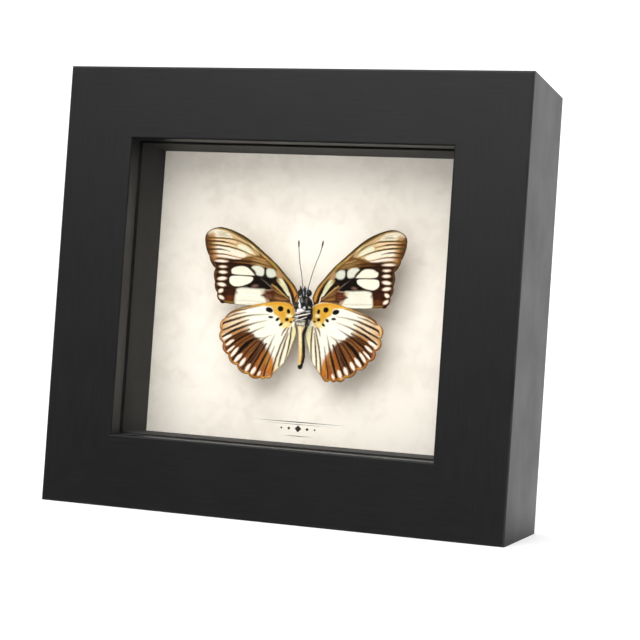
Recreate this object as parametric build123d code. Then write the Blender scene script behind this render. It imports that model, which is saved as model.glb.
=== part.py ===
from build123d import *
import os
from math import hypot

# Butterfly display case: a deep shadow-box frame with a pinned butterfly behind glass.
# X runs across the case, Y from front to back and Z up. The origin is the middle of the
# frame's bottom face, halfway through its depth. All sizes are in millimetres.

# ---- Frame -------------------------------------------------------------------------
frame_width = 165.0
frame_height = 153.0
frame_depth = 54.0
face_width = 25.0            # front of a rail, from its outer edge to the sight edge
rabbet_width = 7.0           # how far the lip laps over the glass
lip_thickness = 7.0
front_edge_round = 0.8
sight_edge_round = 0.6
back_edge_round = 2.0

# ---- Glass, spacers and backing ----------------------------------------------------
glass_thickness = 2.0
sheet_clearance = 0.75       # round the glass, paper, foam, pads and back panel
spacer_depth = 20.0
spacer_clearance = 0.3       # between a spacer and the rail beside it
spacer_reveal = 0.6          # how far a spacer stands inside the sight edge
paper_thickness = 0.3
foam_thickness = 12.0
back_panel_thickness = 3.0
filler_pad_count = 2

# ---- V-nails in the corner mitres --------------------------------------------------
v_nail_leg = 5.0
v_nail_steel = 0.6
v_nail_depth = 10.0
v_nails_per_corner = 2

# ---- Turn buttons and their screws -------------------------------------------------
button_length = 22.0
button_width = 8.0
button_thickness = 1.2
button_edge_round = 0.3
button_running_gap = 0.1     # to the rail, to the screw head and round the shank
buttons_per_side = 2
button_spacing = 76.0        # between the two buttons on one rail
screw_shank_diameter = 2.9
screw_shank_length = 12.0
screw_head_diameter = 6.4
screw_head_height = 2.0
screw_recess_width = 0.8
screw_recess_length = 3.2
screw_recess_depth = 1.1

# ---- Sawtooth hanger and its nails -------------------------------------------------
hanger_length = 45.0
hanger_height = 8.0
hanger_steel = 0.8
hanger_lift = 2.0            # how far the toothed middle stands off the rail
hanger_foot = 7.0
hanger_ramp = 2.0
tooth_pitch = 3.0
tooth_depth = 1.6
nail_diameter = 1.4
nail_length = 9.0
nail_head_diameter = 3.2
nail_head_height = 0.7

# ---- Wall bumpers ------------------------------------------------------------------
bumper_diameter = 9.0
bumper_height = 4.0
bumper_edge_round = 1.0

# ---- Specimen ----------------------------------------------------------------------
specimen_x = 3.1             # pinned a little right of the middle of the case
specimen_drop = 3.5          # thorax below the middle of the case
wing_standoff = 7.0          # wing roots in front of the paper
wing_thickness = 0.3
left_wing_lift = 9.4         # how far each pair rises towards the glass, degrees
right_wing_lift = 7.0
wing_overlap_gap = 0.2       # between a hindwing and the forewing behind it
forewing_bulge = 0.5         # how far each scallop stands out of its chord
hindwing_bulge = 1.0
right_hindwing_bulge = 1.2
right_forewing_swing = 2.8   # degrees above the left one
right_hindwing_swing = -0.6
right_forewing_shift = (0.5, 0.1)    # out and up
right_hindwing_shift = (-0.3, 0.8)

thorax_radius = 3.6
thorax_length = 10.6
body_lead = 1.5              # body axis in front of the wing roots
thorax_rise = -1.2           # thorax middle above the specimen's datum
head_radius = 1.8
neck_overlap = 0.8           # how far the head's ball reaches over the thorax
eye_radius = 1.25
eye_spread = 1.35            # middle of each eye, out from the middle of the head
eye_lead = 0.3               # and in front of it
eye_rise = 0.2               # and above it
abdomen_radius = 1.5
abdomen_length = 16.8
abdomen_tip_radius = 0.55
palp_radius = 0.45
palp_root = (0.6, 1.1, 0.3)  # out from, in front of and above the middle of the head
palp_tip = (0.9, 1.6, 3.0)
antenna_radius = 0.16
antenna_lead = 0.2           # antennae in front of the body's axis
club_radius = 0.36
leg_radius = 0.28
riser_width = 5.0
riser_height = 6.0
pin_diameter = 0.6
pin_grip = 2.5               # pin length inside the thorax
pin_depth = 9.0              # pin length inside the foam

# ---- Places that follow from the sizes ---------------------------------------------
wall_width = face_width - rabbet_width
front_y = -frame_depth / 2
back_y = frame_depth / 2
lip_back_y = front_y + lip_thickness
glass_back_y = lip_back_y + glass_thickness
paper_front_y = glass_back_y + spacer_depth
foam_front_y = paper_front_y + paper_thickness
filler_front_y = foam_front_y + foam_thickness
panel_front_y = back_y - back_panel_thickness
filler_pad_thickness = (panel_front_y - filler_front_y) / filler_pad_count
middle_z = frame_height / 2
pocket_width = frame_width - 2 * wall_width
pocket_height = frame_height - 2 * wall_width
sheet_width = pocket_width - 2 * sheet_clearance
sheet_height = pocket_height - 2 * sheet_clearance

specimen_z = middle_z - specimen_drop
wing_y = paper_front_y - wing_standoff
body_y = wing_y - body_lead
thorax_z = specimen_z + thorax_rise


def save(shape, name):
    """Name a sub-part and write it to its own STEP file."""
    shape.label = name
    export_step(shape, f"parts/{name}.step")


def slab(width, height, y_front, y_back):
    """An upright sheet in the middle of the case, between two depths."""
    middle = (0, (y_front + y_back) / 2, middle_z)
    return Pos(*middle) * Box(width, y_back - y_front, height)


def pegs(shapes):
    """One node that holds several separate solids."""
    return Compound(children=[shape.solid() for shape in shapes])


def cut(shape, tools):
    """Take the volume of each tool out of a shape."""
    for tool in tools:
        shape = shape - tool
    return shape


# ---- Fasteners of the frame --------------------------------------------------------
def v_nail():
    """A V-nail with its point edge at the origin, its legs towards +X and +Z."""
    leg = Box(v_nail_leg, v_nail_depth, v_nail_steel, align=(Align.MIN, Align.MAX, Align.MIN))
    other = Box(v_nail_steel, v_nail_depth, v_nail_leg, align=(Align.MIN, Align.MAX, Align.MIN))
    return leg + other


def corner_v_nails():
    """V-nails along each mitre, driven flush from the back."""
    pitch = wall_width / (v_nails_per_corner + 1)
    nails = []
    for side_x in (-1, 1):
        for side_z in (-1, 1):
            turn = {(-1, -1): 0, (-1, 1): 90, (1, 1): 180, (1, -1): 270}[(side_x, side_z)]
            for step in range(v_nails_per_corner):
                inset = pitch * (step + 1) - v_nail_leg / 4
                place = Pos(side_x * (frame_width / 2 - inset), back_y,
                            middle_z + side_z * (frame_height / 2 - inset))
                nails.append(place * Rot(0, turn, 0) * v_nail())
    return nails


def screw():
    """A pan-head screw along +Y, driven from the back, with its seat at the origin."""
    head = Cylinder(screw_head_diameter / 2, screw_head_height,
                    align=(Align.CENTER, Align.CENTER, Align.MIN))
    head = fillet(head.edges().sort_by(Axis.Z)[-1], screw_head_height * 0.6)
    shank = Cylinder(screw_shank_diameter / 2, screw_shank_length,
                     align=(Align.CENTER, Align.CENTER, Align.MAX))
    slot = Box(screw_recess_length, screw_recess_width, screw_recess_depth)
    cross = slot + Rot(0, 0, 90) * slot
    recess = Pos(0, 0, screw_head_height - screw_recess_depth / 2) * cross
    return Rot(-90, 0, 0) * (head + shank - recess)


def nail():
    """A flat-head nail along +Y with its seat at the origin."""
    head = Cylinder(nail_head_diameter / 2, nail_head_height,
                    align=(Align.CENTER, Align.CENTER, Align.MIN))
    shank = Cylinder(nail_diameter / 2, nail_length,
                     align=(Align.CENTER, Align.CENTER, Align.MAX))
    return Rot(-90, 0, 0) * (head + shank)


# ---- Turn buttons ------------------------------------------------------------------
def button_places():
    """Pivot of each turn button: its side of the case, its X and its Z."""
    pivot_x = frame_width / 2 - wall_width / 2
    first = middle_z - button_spacing * (buttons_per_side - 1) / 2
    for side, name in ((-1, "left"), (1, "right")):
        for row in range(buttons_per_side):
            yield side, name, row + 1, side * pivot_x, first + row * button_spacing


def turn_button(side):
    """A flat steel button with its pivot at the origin, its long end over the panel."""
    reach = button_length - button_width
    outline = Pos(-side * reach / 2, 0) * SlotOverall(button_length, button_width)
    plate = extrude(Plane.XZ * outline, button_thickness, dir=(0, 1, 0))
    rims = plate.faces().filter_by(Axis.Y).edges()
    plate = fillet(rims, button_edge_round)
    bore = Cylinder(screw_shank_diameter / 2 + button_running_gap, 4 * button_thickness)
    return plate - Rot(90, 0, 0) * bore


button_y = back_y + button_running_gap
screw_seat_y = button_y + button_thickness + button_running_gap
buttons = {}
screws = []
for side, name, row, x, z in button_places():
    buttons[f"turn_button_{name}_{row}"] = Pos(x, button_y, z) * turn_button(side)
    screws.append(Pos(x, screw_seat_y, z) * screw())


# ---- Sawtooth hanger ---------------------------------------------------------------
def hanger_nail_places():
    """Seat of each hanger nail, on the hanger's feet."""
    x = hanger_length / 2 - hanger_foot / 2
    z = frame_height - wall_width / 2
    return [(side * x, back_y + hanger_steel, z) for side in (-1, 1)]


def sawtooth_hanger():
    """A pressed strip: two feet on the rail and a raised middle with teeth below."""
    half = hanger_length / 2
    bend = half - hanger_foot
    crown = bend - hanger_ramp
    strip = Polygon((-half, 0), (-bend, 0), (-crown, hanger_lift), (crown, hanger_lift),
                    (bend, 0), (half, 0), (half, hanger_steel), (bend, hanger_steel),
                    (crown, hanger_lift + hanger_steel), (-crown, hanger_lift + hanger_steel),
                    (-bend, hanger_steel), (-half, hanger_steel), align=None)
    body = extrude(strip, hanger_height / 2, both=True)
    tooth_count = int(2 * crown / tooth_pitch) - 1
    cutter = Polygon((-tooth_pitch / 2, -hanger_height / 2),
                     (tooth_pitch / 2, -hanger_height / 2),
                     (0, tooth_depth - hanger_height / 2), align=None)
    for index in range(tooth_count):
        x = (index - (tooth_count - 1) / 2) * tooth_pitch
        gullet = extrude(Plane.XZ * Pos(x, 0) * cutter, 2 * hanger_lift + hanger_steel,
                         dir=(0, 1, 0))
        body = body - gullet
    return Pos(0, back_y, frame_height - wall_width / 2) * body


hanger_nails = [Pos(*place) * nail() for place in hanger_nail_places()]
hanger = cut(sawtooth_hanger(), hanger_nails)


# ---- Rails -------------------------------------------------------------------------
def rail(length):
    """A mitred L-section rail along X, outer face down at Z = 0."""
    section = Polygon((front_y, 0), (back_y, 0), (back_y, wall_width),
                      (lip_back_y, wall_width), (lip_back_y, face_width),
                      (front_y, face_width), align=None)
    rounds = (((front_y, 0), front_edge_round), ((back_y, 0), back_edge_round),
              ((front_y, face_width), sight_edge_round))
    for corner, radius in rounds:
        vertex = section.vertices().sort_by_distance((*corner, 0))[0]
        section = fillet(vertex, radius)
    bar = extrude(Plane.YZ * section, length / 2, both=True)
    mitre = Polygon((-length / 2, 0), (length / 2, 0),
                    (length / 2 - face_width, face_width),
                    (face_width - length / 2, face_width), align=None)
    return bar & extrude(Plane.XZ * mitre, frame_depth, both=True)


v_nails = corner_v_nails()
to_side_x = frame_width / 2
rails = {
    "rail_bottom": rail(frame_width),
    "rail_top": Pos(0, 0, frame_height) * Rot(0, 180, 0) * rail(frame_width),
    "rail_left": Pos(-to_side_x, 0, middle_z) * Rot(0, 90, 0) * rail(frame_height),
    "rail_right": Pos(to_side_x, 0, middle_z) * Rot(0, -90, 0) * rail(frame_height),
}
for name, bar in rails.items():
    save(cut(bar, v_nails + screws + hanger_nails), name)
save(pegs(v_nails), "corner_v_nails")
save(pegs(screws), "turn_button_screws")
save(hanger, "sawtooth_hanger")
save(pegs(hanger_nails), "hanger_nails")
for name, button in buttons.items():
    save(button, name)


# ---- Wall bumpers ------------------------------------------------------------------
def wall_bumper():
    """A round rubber foot on the back face, domed towards the wall."""
    puck = Cylinder(bumper_diameter / 2, bumper_height,
                    align=(Align.CENTER, Align.CENTER, Align.MIN))
    puck = fillet(puck.edges().sort_by(Axis.Z)[-1], bumper_edge_round)
    return Rot(-90, 0, 0) * puck


for side, name in ((-1, "left"), (1, "right")):
    place = Pos(side * (frame_width / 2 - wall_width / 2), back_y, wall_width / 2)
    save(place * wall_bumper(), f"wall_bumper_{name}")


# ---- Glass and spacers -------------------------------------------------------------
save(slab(sheet_width, sheet_height, lip_back_y, glass_back_y), "glass_pane")

spacer_thickness = rabbet_width - spacer_clearance + spacer_reveal
spacer_middle_y = (glass_back_y + paper_front_y) / 2
long_spacer = pocket_width - 2 * spacer_clearance
short_spacer = pocket_height - 2 * spacer_clearance - 2 * spacer_thickness
spacer_out_x = pocket_width / 2 - spacer_clearance - spacer_thickness / 2
spacer_out_z = pocket_height / 2 - spacer_clearance - spacer_thickness / 2
for side, name in ((-1, "bottom"), (1, "top")):
    bar = Box(long_spacer, spacer_depth, spacer_thickness)
    save(Pos(0, spacer_middle_y, middle_z + side * spacer_out_z) * bar, f"spacer_{name}")
for side, name in ((-1, "left"), (1, "right")):
    bar = Box(spacer_thickness, spacer_depth, short_spacer)
    save(Pos(side * spacer_out_x, spacer_middle_y, middle_z) * bar, f"spacer_{name}")


# ---- Specimen: wings ---------------------------------------------------------------
# Wing outlines are drawn flat. Each point is its distance out from the body's axis and
# its height above the specimen's datum.
forewing_costa = [(2.2, 3.4), (2.9, 5.3), (4.2, 7.6), (7.0, 10.6), (9.7, 13.5), (12.5, 16.0),
                  (16.7, 19.4), (20.8, 22.5), (25.0, 24.8), (29.2, 26.2), (32.2, 26.6),
                  (34.7, 25.9), (36.4, 24.7), (37.2, 22.7)]
forewing_notches = [(35.3, 16.2), (32.8, 12.1), (32.6, 7.4), (31.5, 3.5), (30.4, 0.7),
                    (28.6, 0.1)]
forewing_inner = [(20.3, -0.2), (11.0, 0.2), (3.0, 0.9)]
hindwing_costa = [(2.6, 0.2), (4.1, 0.6), (6.0, 1.5), (8.5, 1.8), (12.5, 1.4), (16.3, 0.5),
                  (20.0, -0.4), (23.7, -1.6), (26.4, -3.1), (28.1, -5.1)]
hindwing_notches = [(29.2, -9.5), (28.1, -13.8), (26.0, -17.8), (22.6, -21.3), (18.4, -24.1),
                    (14.1, -25.0), (12.1, -24.9), (9.9, -23.8)]
hindwing_inner = [(8.0, -21.5), (5.9, -19.2), (4.5, -16.0), (3.4, -12.2), (2.6, -9.5),
                  (2.5, -8.2), (3.2, -6.2)]
# The right hindwing was set wider open, so its fan of scallops is longer.
right_hindwing_costa = [*hindwing_costa[:-2], (26.9, -3.0), (29.1, -4.7)]
right_hindwing_notches = [(29.7, -9.5), (28.3, -13.8), (26.0, -17.5), (22.1, -20.6),
                          (18.0, -23.5), (14.7, -24.8), (12.4, -24.8), (9.3, -24.5)]
right_hindwing_inner = [(7.2, -22.1), (5.1, -19.6), (3.9, -17.2), (2.6, -13.5), (1.7, -11.2),
                        (1.4, -9.4), (2.6, -6.4)]


def scallops(notches, bulge):
    """Arcs between neighbouring notches, each standing out of its chord."""
    arcs = []
    for (u0, v0), (u1, v1) in zip(notches, notches[1:]):
        chord = hypot(u1 - u0, v1 - v0)
        out = min(bulge, 0.3 * chord) / chord
        peak = ((u0 + u1) / 2 - (v1 - v0) * out, (v0 + v1) / 2 + (u1 - u0) * out)
        arcs.append(ThreePointArc((u0, v0), peak, (u1, v1)))
    return arcs


def wing(costa, notches, inner, bulge, side, lift, swing, shift, layer):
    """A thin wing in its tilted plane, on the left (side -1) or the right (side 1)."""
    edges = [Spline(*costa), *scallops([costa[-1], *notches], bulge)]
    edges.append(Spline(notches[-1], *inner))
    edges.append(Line(inner[-1], costa[0]))
    outline = make_face(Wire(edges))
    flat = extrude(Plane.XZ * outline, wing_thickness, dir=(0, -1, 0))
    if side < 0:
        flat = mirror(flat, Plane.YZ)
    turned = Rot(0, -side * swing, 0) * flat
    set_out = Pos(side * shift[0], -layer, shift[1]) * turned
    return Pos(specimen_x, wing_y, specimen_z) * Rot(0, 0, -side * lift) * set_out


hindwing_layer = wing_thickness + wing_overlap_gap
fore = (forewing_costa, forewing_notches, forewing_inner, forewing_bulge)
hind = (hindwing_costa, hindwing_notches, hindwing_inner, hindwing_bulge)
right_hind = (right_hindwing_costa, right_hindwing_notches, right_hindwing_inner,
              right_hindwing_bulge)
wings = {
    "left_forewing": wing(*fore, -1, left_wing_lift, 0, (0, 0), 0),
    "right_forewing": wing(*fore, 1, right_wing_lift, right_forewing_swing,
                           right_forewing_shift, 0),
    "left_hindwing": wing(*hind, -1, left_wing_lift, 0, (0, 0), hindwing_layer),
    "right_hindwing": wing(*right_hind, 1, right_wing_lift, right_hindwing_swing,
                           right_hindwing_shift, hindwing_layer),
}
for name, shape in wings.items():
    save(shape, name)


# ---- Specimen: body ----------------------------------------------------------------
def spindle(stations):
    """A turned body along Z through (height, radius) stations, closed at both ends."""
    profile = Spline(*[(radius, height) for height, radius in stations])
    bottom = Line((0, stations[0][0]), (stations[0][1], stations[0][0]))
    top = Line((stations[-1][1], stations[-1][0]), (0, stations[-1][0]))
    axis = Line((0, stations[-1][0]), (0, stations[0][0]))
    face = Plane.XZ * make_face(Wire([bottom, profile, top, axis]))
    return revolve(face, Axis.Z)


def rod(start, end, radius):
    """A round rod from one point to another."""
    run = Vector(*end) - Vector(*start)
    return Plane(start, z_dir=run) * Cylinder(
        radius, run.length, align=(Align.CENTER, Align.CENTER, Align.MIN))


def jointed_rod(points, radii):
    """Rods through a list of points, with a ball at each joint."""
    shape = rod(points[0], points[1], radii[0])
    for start, end, radius in zip(points[1:], points[2:], radii[1:]):
        shape = shape + Pos(*start) * Sphere(radius) + rod(start, end, radius)
    return shape


half_thorax = thorax_length / 2
thorax = Pos(specimen_x, body_y, thorax_z) * spindle([
    (-half_thorax, thorax_radius * 0.45), (-half_thorax * 0.55, thorax_radius * 0.9),
    (0, thorax_radius), (half_thorax * 0.6, thorax_radius * 0.82),
    (half_thorax, thorax_radius * 0.4)])
pin_start = (specimen_x, body_y + thorax_radius - pin_grip, thorax_z)
pin_end = (specimen_x, foam_front_y + pin_depth, thorax_z)
pin = rod(pin_start, pin_end, pin_diameter / 2)
thorax = cut(thorax, [*wings.values(), pin])
save(pin, "specimen_pin")
save(thorax, "thorax")

head_z = thorax_z + half_thorax + head_radius - neck_overlap
head = cut(Pos(specimen_x, body_y, head_z) * Sphere(head_radius), [thorax, *wings.values()])
save(head, "head")

eyes = []
for side in (-1, 1):
    place = (specimen_x + side * eye_spread, body_y - eye_lead, head_z + eye_rise)
    eyes.append(cut(Pos(*place) * Sphere(eye_radius), [head, thorax, *wings.values()]))
save(pegs(eyes), "compound_eyes")

abdomen_top_z = thorax_z - half_thorax * 0.6
abdomen = Pos(specimen_x, body_y, abdomen_top_z) * spindle([
    (-abdomen_length, abdomen_tip_radius), (-abdomen_length * 0.85, abdomen_radius * 0.75),
    (-abdomen_length * 0.5, abdomen_radius * 0.82),
    (-abdomen_length * 0.34, abdomen_radius * 0.92),
    (-abdomen_length * 0.18, abdomen_radius * 1.25),
    (0, abdomen_radius * 1.1)])
save(cut(abdomen, [thorax, *wings.values()]), "abdomen")

palps = []
for side in (-1, 1):
    ends = [(specimen_x + side * x, body_y - y, head_z + z) for x, y, z in (palp_root, palp_tip)]
    palps.append(cut(rod(*ends, palp_radius), [head, *eyes]))
save(pegs(palps), "palps")


# ---- Specimen: antennae and legs ---------------------------------------------------
# Antenna points are across from the body's axis and above the middle of the head.
left_antenna_route = [(-0.7, 0.9), (-1.5, 6.2), (-2.5, 9.8), (-3.2, 14.4), (-3.5, 18.0)]
right_antenna_route = [(0.9, 0.9), (2.0, 6.2), (3.5, 11.2), (5.0, 15.2), (5.4, 18.3)]
for name, route in (("left_antenna", left_antenna_route),
                    ("right_antenna", right_antenna_route)):
    points = [(specimen_x + x, body_y - antenna_lead, head_z + z) for x, z in route]
    stem = jointed_rod(points, [antenna_radius] * (len(points) - 2) + [club_radius])
    tip = Pos(*points[-1]) * Sphere(club_radius)
    save(cut(stem + tip, [head, *eyes, *palps]), name)

# Leg points are across, in front of the thorax's axis, and above the thorax's middle.
# Each leg is folded over the underside: femur, tibia, tarsus.
leg_routes = [
    [(-1.0, 2.6, 3.2), (-2.4, 3.6, 0.6), (-2.9, 3.4, 4.2), (-2.2, 3.0, 6.6)],
    [(1.0, 2.6, 3.2), (2.4, 3.6, 0.6), (2.9, 3.4, 4.0), (2.4, 3.0, 6.2)],
    [(-1.0, 3.2, 0.4), (-3.2, 3.6, -2.6), (-0.4, 4.4, -1.6), (2.2, 4.6, -0.6)],
    [(1.0, 3.2, 0.4), (3.4, 3.6, 1.6), (3.9, 3.6, -1.4), (3.2, 3.9, -4.0)],
    [(-0.8, 3.0, -2.0), (-3.0, 3.4, -4.4), (0.2, 4.2, -3.6), (3.0, 4.4, -2.4)],
    [(0.8, 3.0, -2.0), (1.8, 3.9, -4.4), (0.2, 4.0, -5.4), (-1.6, 4.0, -6.0)],
]
legs = []
for route in leg_routes:
    points = [(specimen_x + x, body_y - y, thorax_z + z) for x, y, z in route]
    radii = [leg_radius, leg_radius * 0.85, leg_radius * 0.6]
    keep_off = [thorax, head, *eyes, *palps, *wings.values(), *legs]
    legs.append(cut(jointed_rod(points, radii), keep_off).solids().sort_by(SortBy.VOLUME)[-1])
save(pegs(legs), "legs")


# ---- Riser, paper, foam, pads and back panel ---------------------------------------
riser_front_y = body_y + thorax_radius / 2
riser_reach = paper_front_y - riser_front_y
riser = Pos(specimen_x, paper_front_y - riser_reach / 2, thorax_z) * Box(
    riser_width, riser_reach, riser_height)
save(cut(riser, [thorax, *wings.values(), pin]).solids().sort_by(SortBy.VOLUME)[-1],
     "specimen_riser")
save(slab(sheet_width, sheet_height, paper_front_y, foam_front_y) - pin, "backing_paper")
save(slab(sheet_width, sheet_height, foam_front_y, filler_front_y) - pin, "pinning_foam")
for index in range(filler_pad_count):
    pad_front_y = filler_front_y + index * filler_pad_thickness
    pad = slab(sheet_width, sheet_height, pad_front_y, pad_front_y + filler_pad_thickness)
    save(pad, f"filler_pad_{index + 1}")
save(slab(sheet_width, sheet_height, panel_front_y, back_y), "back_panel")
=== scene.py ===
"""Butterfly display case: finishes, specimen and stage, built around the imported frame.

X runs across the case, Y from front to back and Z up, in metres. Sizes that are easier to
read in millimetres are written so and turned to metres with MM.
"""

import math
from itertools import combinations

import bmesh
import bpy
import numpy as np
from bpy.props import FloatProperty, FloatVectorProperty, IntProperty, PointerProperty
from bpy.types import Operator, Panel, PropertyGroup
from mathutils import Euler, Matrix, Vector
from mathutils.geometry import delaunay_2d_cdt


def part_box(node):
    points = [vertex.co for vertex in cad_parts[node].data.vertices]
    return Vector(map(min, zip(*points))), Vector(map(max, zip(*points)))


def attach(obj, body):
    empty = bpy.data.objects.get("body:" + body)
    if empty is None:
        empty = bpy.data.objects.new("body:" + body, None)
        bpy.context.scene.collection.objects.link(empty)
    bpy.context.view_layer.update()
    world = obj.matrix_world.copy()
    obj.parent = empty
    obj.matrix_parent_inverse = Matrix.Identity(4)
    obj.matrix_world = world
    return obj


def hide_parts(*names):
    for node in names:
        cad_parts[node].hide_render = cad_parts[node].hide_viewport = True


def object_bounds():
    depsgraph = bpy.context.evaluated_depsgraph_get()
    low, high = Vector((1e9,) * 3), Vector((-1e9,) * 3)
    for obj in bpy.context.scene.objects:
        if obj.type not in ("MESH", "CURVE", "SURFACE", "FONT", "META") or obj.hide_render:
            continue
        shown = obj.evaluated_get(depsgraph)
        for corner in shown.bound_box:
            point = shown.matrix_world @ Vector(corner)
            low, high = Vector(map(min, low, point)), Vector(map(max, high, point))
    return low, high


bl_info = {
    "name": "Butterfly Display Case",
    "version": (1, 0, 0),
    "blender": (4, 5, 0),
    "location": "3D View > Sidebar > Display Case",
    "description": "Finishes a deep shadow-box case and the pinned butterfly inside it",
    "category": "Object",
}

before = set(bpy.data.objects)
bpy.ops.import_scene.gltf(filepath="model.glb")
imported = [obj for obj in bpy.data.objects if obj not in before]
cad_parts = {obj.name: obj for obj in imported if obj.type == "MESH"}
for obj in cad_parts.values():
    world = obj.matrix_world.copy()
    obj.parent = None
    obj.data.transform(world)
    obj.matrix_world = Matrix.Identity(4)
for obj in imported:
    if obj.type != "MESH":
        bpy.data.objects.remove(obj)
cad_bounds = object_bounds()

MM = 0.001
BODY = "case"                    # the body that everything but the turn buttons rides on

# Places of the inputs that a Mix node has for colours.
MIX_FACTOR, MIX_A, MIX_B = 0, 6, 7


# ---- Colours and small helpers -----------------------------------------------------
def colour(hex_code):
    """A linear RGBA colour from an sRGB hex code."""
    channels = [int(hex_code[place:place + 2], 16) / 255 for place in (1, 3, 5)]
    linear = [c / 12.92 if c <= 0.04045 else ((c + 0.055) / 1.055) ** 2.4 for c in channels]
    return (*linear, 1.0)


def fill(tree, node, inputs):
    """Fill inputs with values or links; a node stands for its first output in use."""
    for socket, value in inputs.items():
        if isinstance(value, str) and value.startswith("#"):
            value = colour(value)
        elif isinstance(value, bpy.types.Node):
            value = next(output for output in value.outputs if output.enabled)
        if isinstance(value, bpy.types.NodeSocket):
            tree.links.new(value, node.inputs[socket])
        else:
            node.inputs[socket].default_value = value


def add(tree, kind, inputs=None, **settings):
    """Add one node, set its settings, and fill its inputs."""
    node = tree.nodes.new(kind)
    for name, value in settings.items():
        setattr(node, name, value)
    fill(tree, node, inputs or {})
    return node


def new_material(name):
    """An empty node material: its datablock, its tree and its main shader."""
    material = bpy.data.materials.new(name)
    material.use_nodes = True
    tree = material.node_tree
    shader = tree.nodes["Principled BSDF"]
    return material, tree, shader


def object_space(tree, *sizes, location=(0, 0, 0)):
    """Object coordinates in metres, moved, and counted in a pattern's size if it has one.

    One size holds along every axis, and three are for X, Y and Z.
    """
    source = add(tree, "ShaderNodeTexCoord")
    scale = [1 / size for size in (sizes * 3)[:3]] or (1, 1, 1)
    return add(tree, "ShaderNodeMapping", {
        "Vector": source.outputs["Object"], "Location": location, "Scale": scale})


def finish_node(material, *names):
    """Give CAD nodes their finish."""
    for name in names:
        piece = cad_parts[name]
        piece.data.materials.clear()
        piece.data.materials.append(material)
        piece.data.polygons.foreach_set("material_index", [0] * len(piece.data.polygons))


def new_piece(name, mesh, material):
    """A finished piece at the origin, with its finish."""
    mesh.name = name
    piece = bpy.data.objects.new(name, mesh)
    bpy.context.scene.collection.objects.link(piece)
    if material is not None:
        mesh.materials.clear()
        mesh.materials.append(material)
    return piece


def stand_in(piece, slot, *nodes):
    """Let a finished piece ride on the case in place of the CAD nodes it stands for."""
    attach(piece, BODY)
    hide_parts(*nodes)


def middle_of(node):
    """The middle of a CAD node's box, in metres."""
    low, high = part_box(node)
    return (low + high) / 2


# ---- Settings that a user would change ---------------------------------------------
class CaseSettings(PropertyGroup):
    """Finish of the case: rails, board, paper and ink."""

    lacquer: FloatVectorProperty(
        name="Lacquer", description="Colour of the lacquered rails",
        subtype="COLOR", size=4, default=colour("#101011"), min=0, max=1)
    lacquer_roughness: FloatProperty(
        name="Lacquer roughness", description="How dull the satin lacquer is",
        default=0.42, min=0, max=1)
    grain_pitch: FloatProperty(
        name="Grain pitch", description="Width of the wood grain that tells through",
        subtype="DISTANCE", unit="LENGTH", default=0.6 * MM, min=0.05 * MM)
    # Reach of the lighter edge line: rubbed lacquer together with a painted edge highlight.
    edge_rub_and_highlight: FloatProperty(
        name="Edge rub", description="How far the rubbed lacquer reaches from an edge",
        subtype="DISTANCE", unit="LENGTH", default=0.9 * MM, min=0)
    board: FloatVectorProperty(
        name="Spacer board", description="Colour of the board between glass and paper",
        subtype="COLOR", size=4, default=colour("#110f0e"), min=0, max=1)
    paper: FloatVectorProperty(
        name="Paper", description="Colour of the backing paper",
        subtype="COLOR", size=4, default=colour("#fff6eb"), min=0, max=1)
    paper_mottle: FloatVectorProperty(
        name="Paper mottle", description="Colour of the paper's cloudy patches",
        subtype="COLOR", size=4, default=colour("#efe5d8"), min=0, max=1)
    ink: FloatVectorProperty(
        name="Ink", description="Colour of the printed ornament",
        subtype="COLOR", size=4, default=colour("#2b2622"), min=0, max=1)


class SpecimenSettings(PropertyGroup):
    """Set of the wings, and how finely the specimen is made."""

    left_lift: FloatProperty(
        name="Left lift", description="How far the left wings rise towards the glass",
        subtype="ANGLE", unit="ROTATION", default=math.radians(9.4))
    right_lift: FloatProperty(
        name="Right lift", description="How far the right wings rise towards the glass",
        subtype="ANGLE", unit="ROTATION", default=math.radians(7.0))
    right_forewing_swing: FloatProperty(
        name="Right forewing swing", description="Turn of the right forewing, upwards",
        subtype="ANGLE", unit="ROTATION", default=math.radians(2.8))
    right_hindwing_swing: FloatProperty(
        name="Right hindwing swing", description="Turn of the right hindwing, upwards",
        subtype="ANGLE", unit="ROTATION", default=math.radians(-0.6))
    scale_pitch: FloatProperty(
        name="Scale pitch", description="Distance between the points that carry the scales",
        subtype="DISTANCE", unit="LENGTH", default=0.17 * MM, min=0.1 * MM)
    hair_length: FloatProperty(
        name="Hair length", description="Length of the thorax's hairs",
        subtype="DISTANCE", unit="LENGTH", default=0.75 * MM, min=0)
    hair_radius: FloatProperty(
        name="Hair radius", description="Thickness of a hair at its root",
        subtype="DISTANCE", unit="LENGTH", default=0.045 * MM, min=0)
    seed: IntProperty(
        name="Seed", description="Start of every random draw", default=11, min=0)


class StageSettings(PropertyGroup):
    """Lamp, sky and camera."""

    camera_place: FloatVectorProperty(
        name="Camera place", description="Where the camera stands",
        subtype="TRANSLATION", unit="LENGTH", size=3,
        default=(184.58 * MM, -537.63 * MM, 57.96 * MM))
    camera_turn: FloatVectorProperty(
        name="Camera turn", description="How the camera is turned",
        subtype="EULER", unit="ROTATION", size=3,
        default=(math.radians(91.163), math.radians(-3.922), math.radians(18.215)))
    lens: FloatProperty(
        name="Lens", description="Focal length on a 36 mm sensor, in millimetres",
        default=91.02, min=1)
    key_place: FloatVectorProperty(
        name="Key place", description="Where the soft key lamp hangs",
        subtype="TRANSLATION", unit="LENGTH", size=3, default=(-0.12, -1.12, 0.92))
    key_size: FloatProperty(
        name="Key size", description="Side of the square key lamp",
        subtype="DISTANCE", unit="LENGTH", default=1.3, min=0)
    key_power: FloatProperty(
        name="Key power", description="Power of the key lamp",
        subtype="POWER", unit="POWER", default=18.5, min=0)
    sky_strength: FloatProperty(
        name="Sky strength", description="Even light from all round", default=0.83, min=0)


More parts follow.
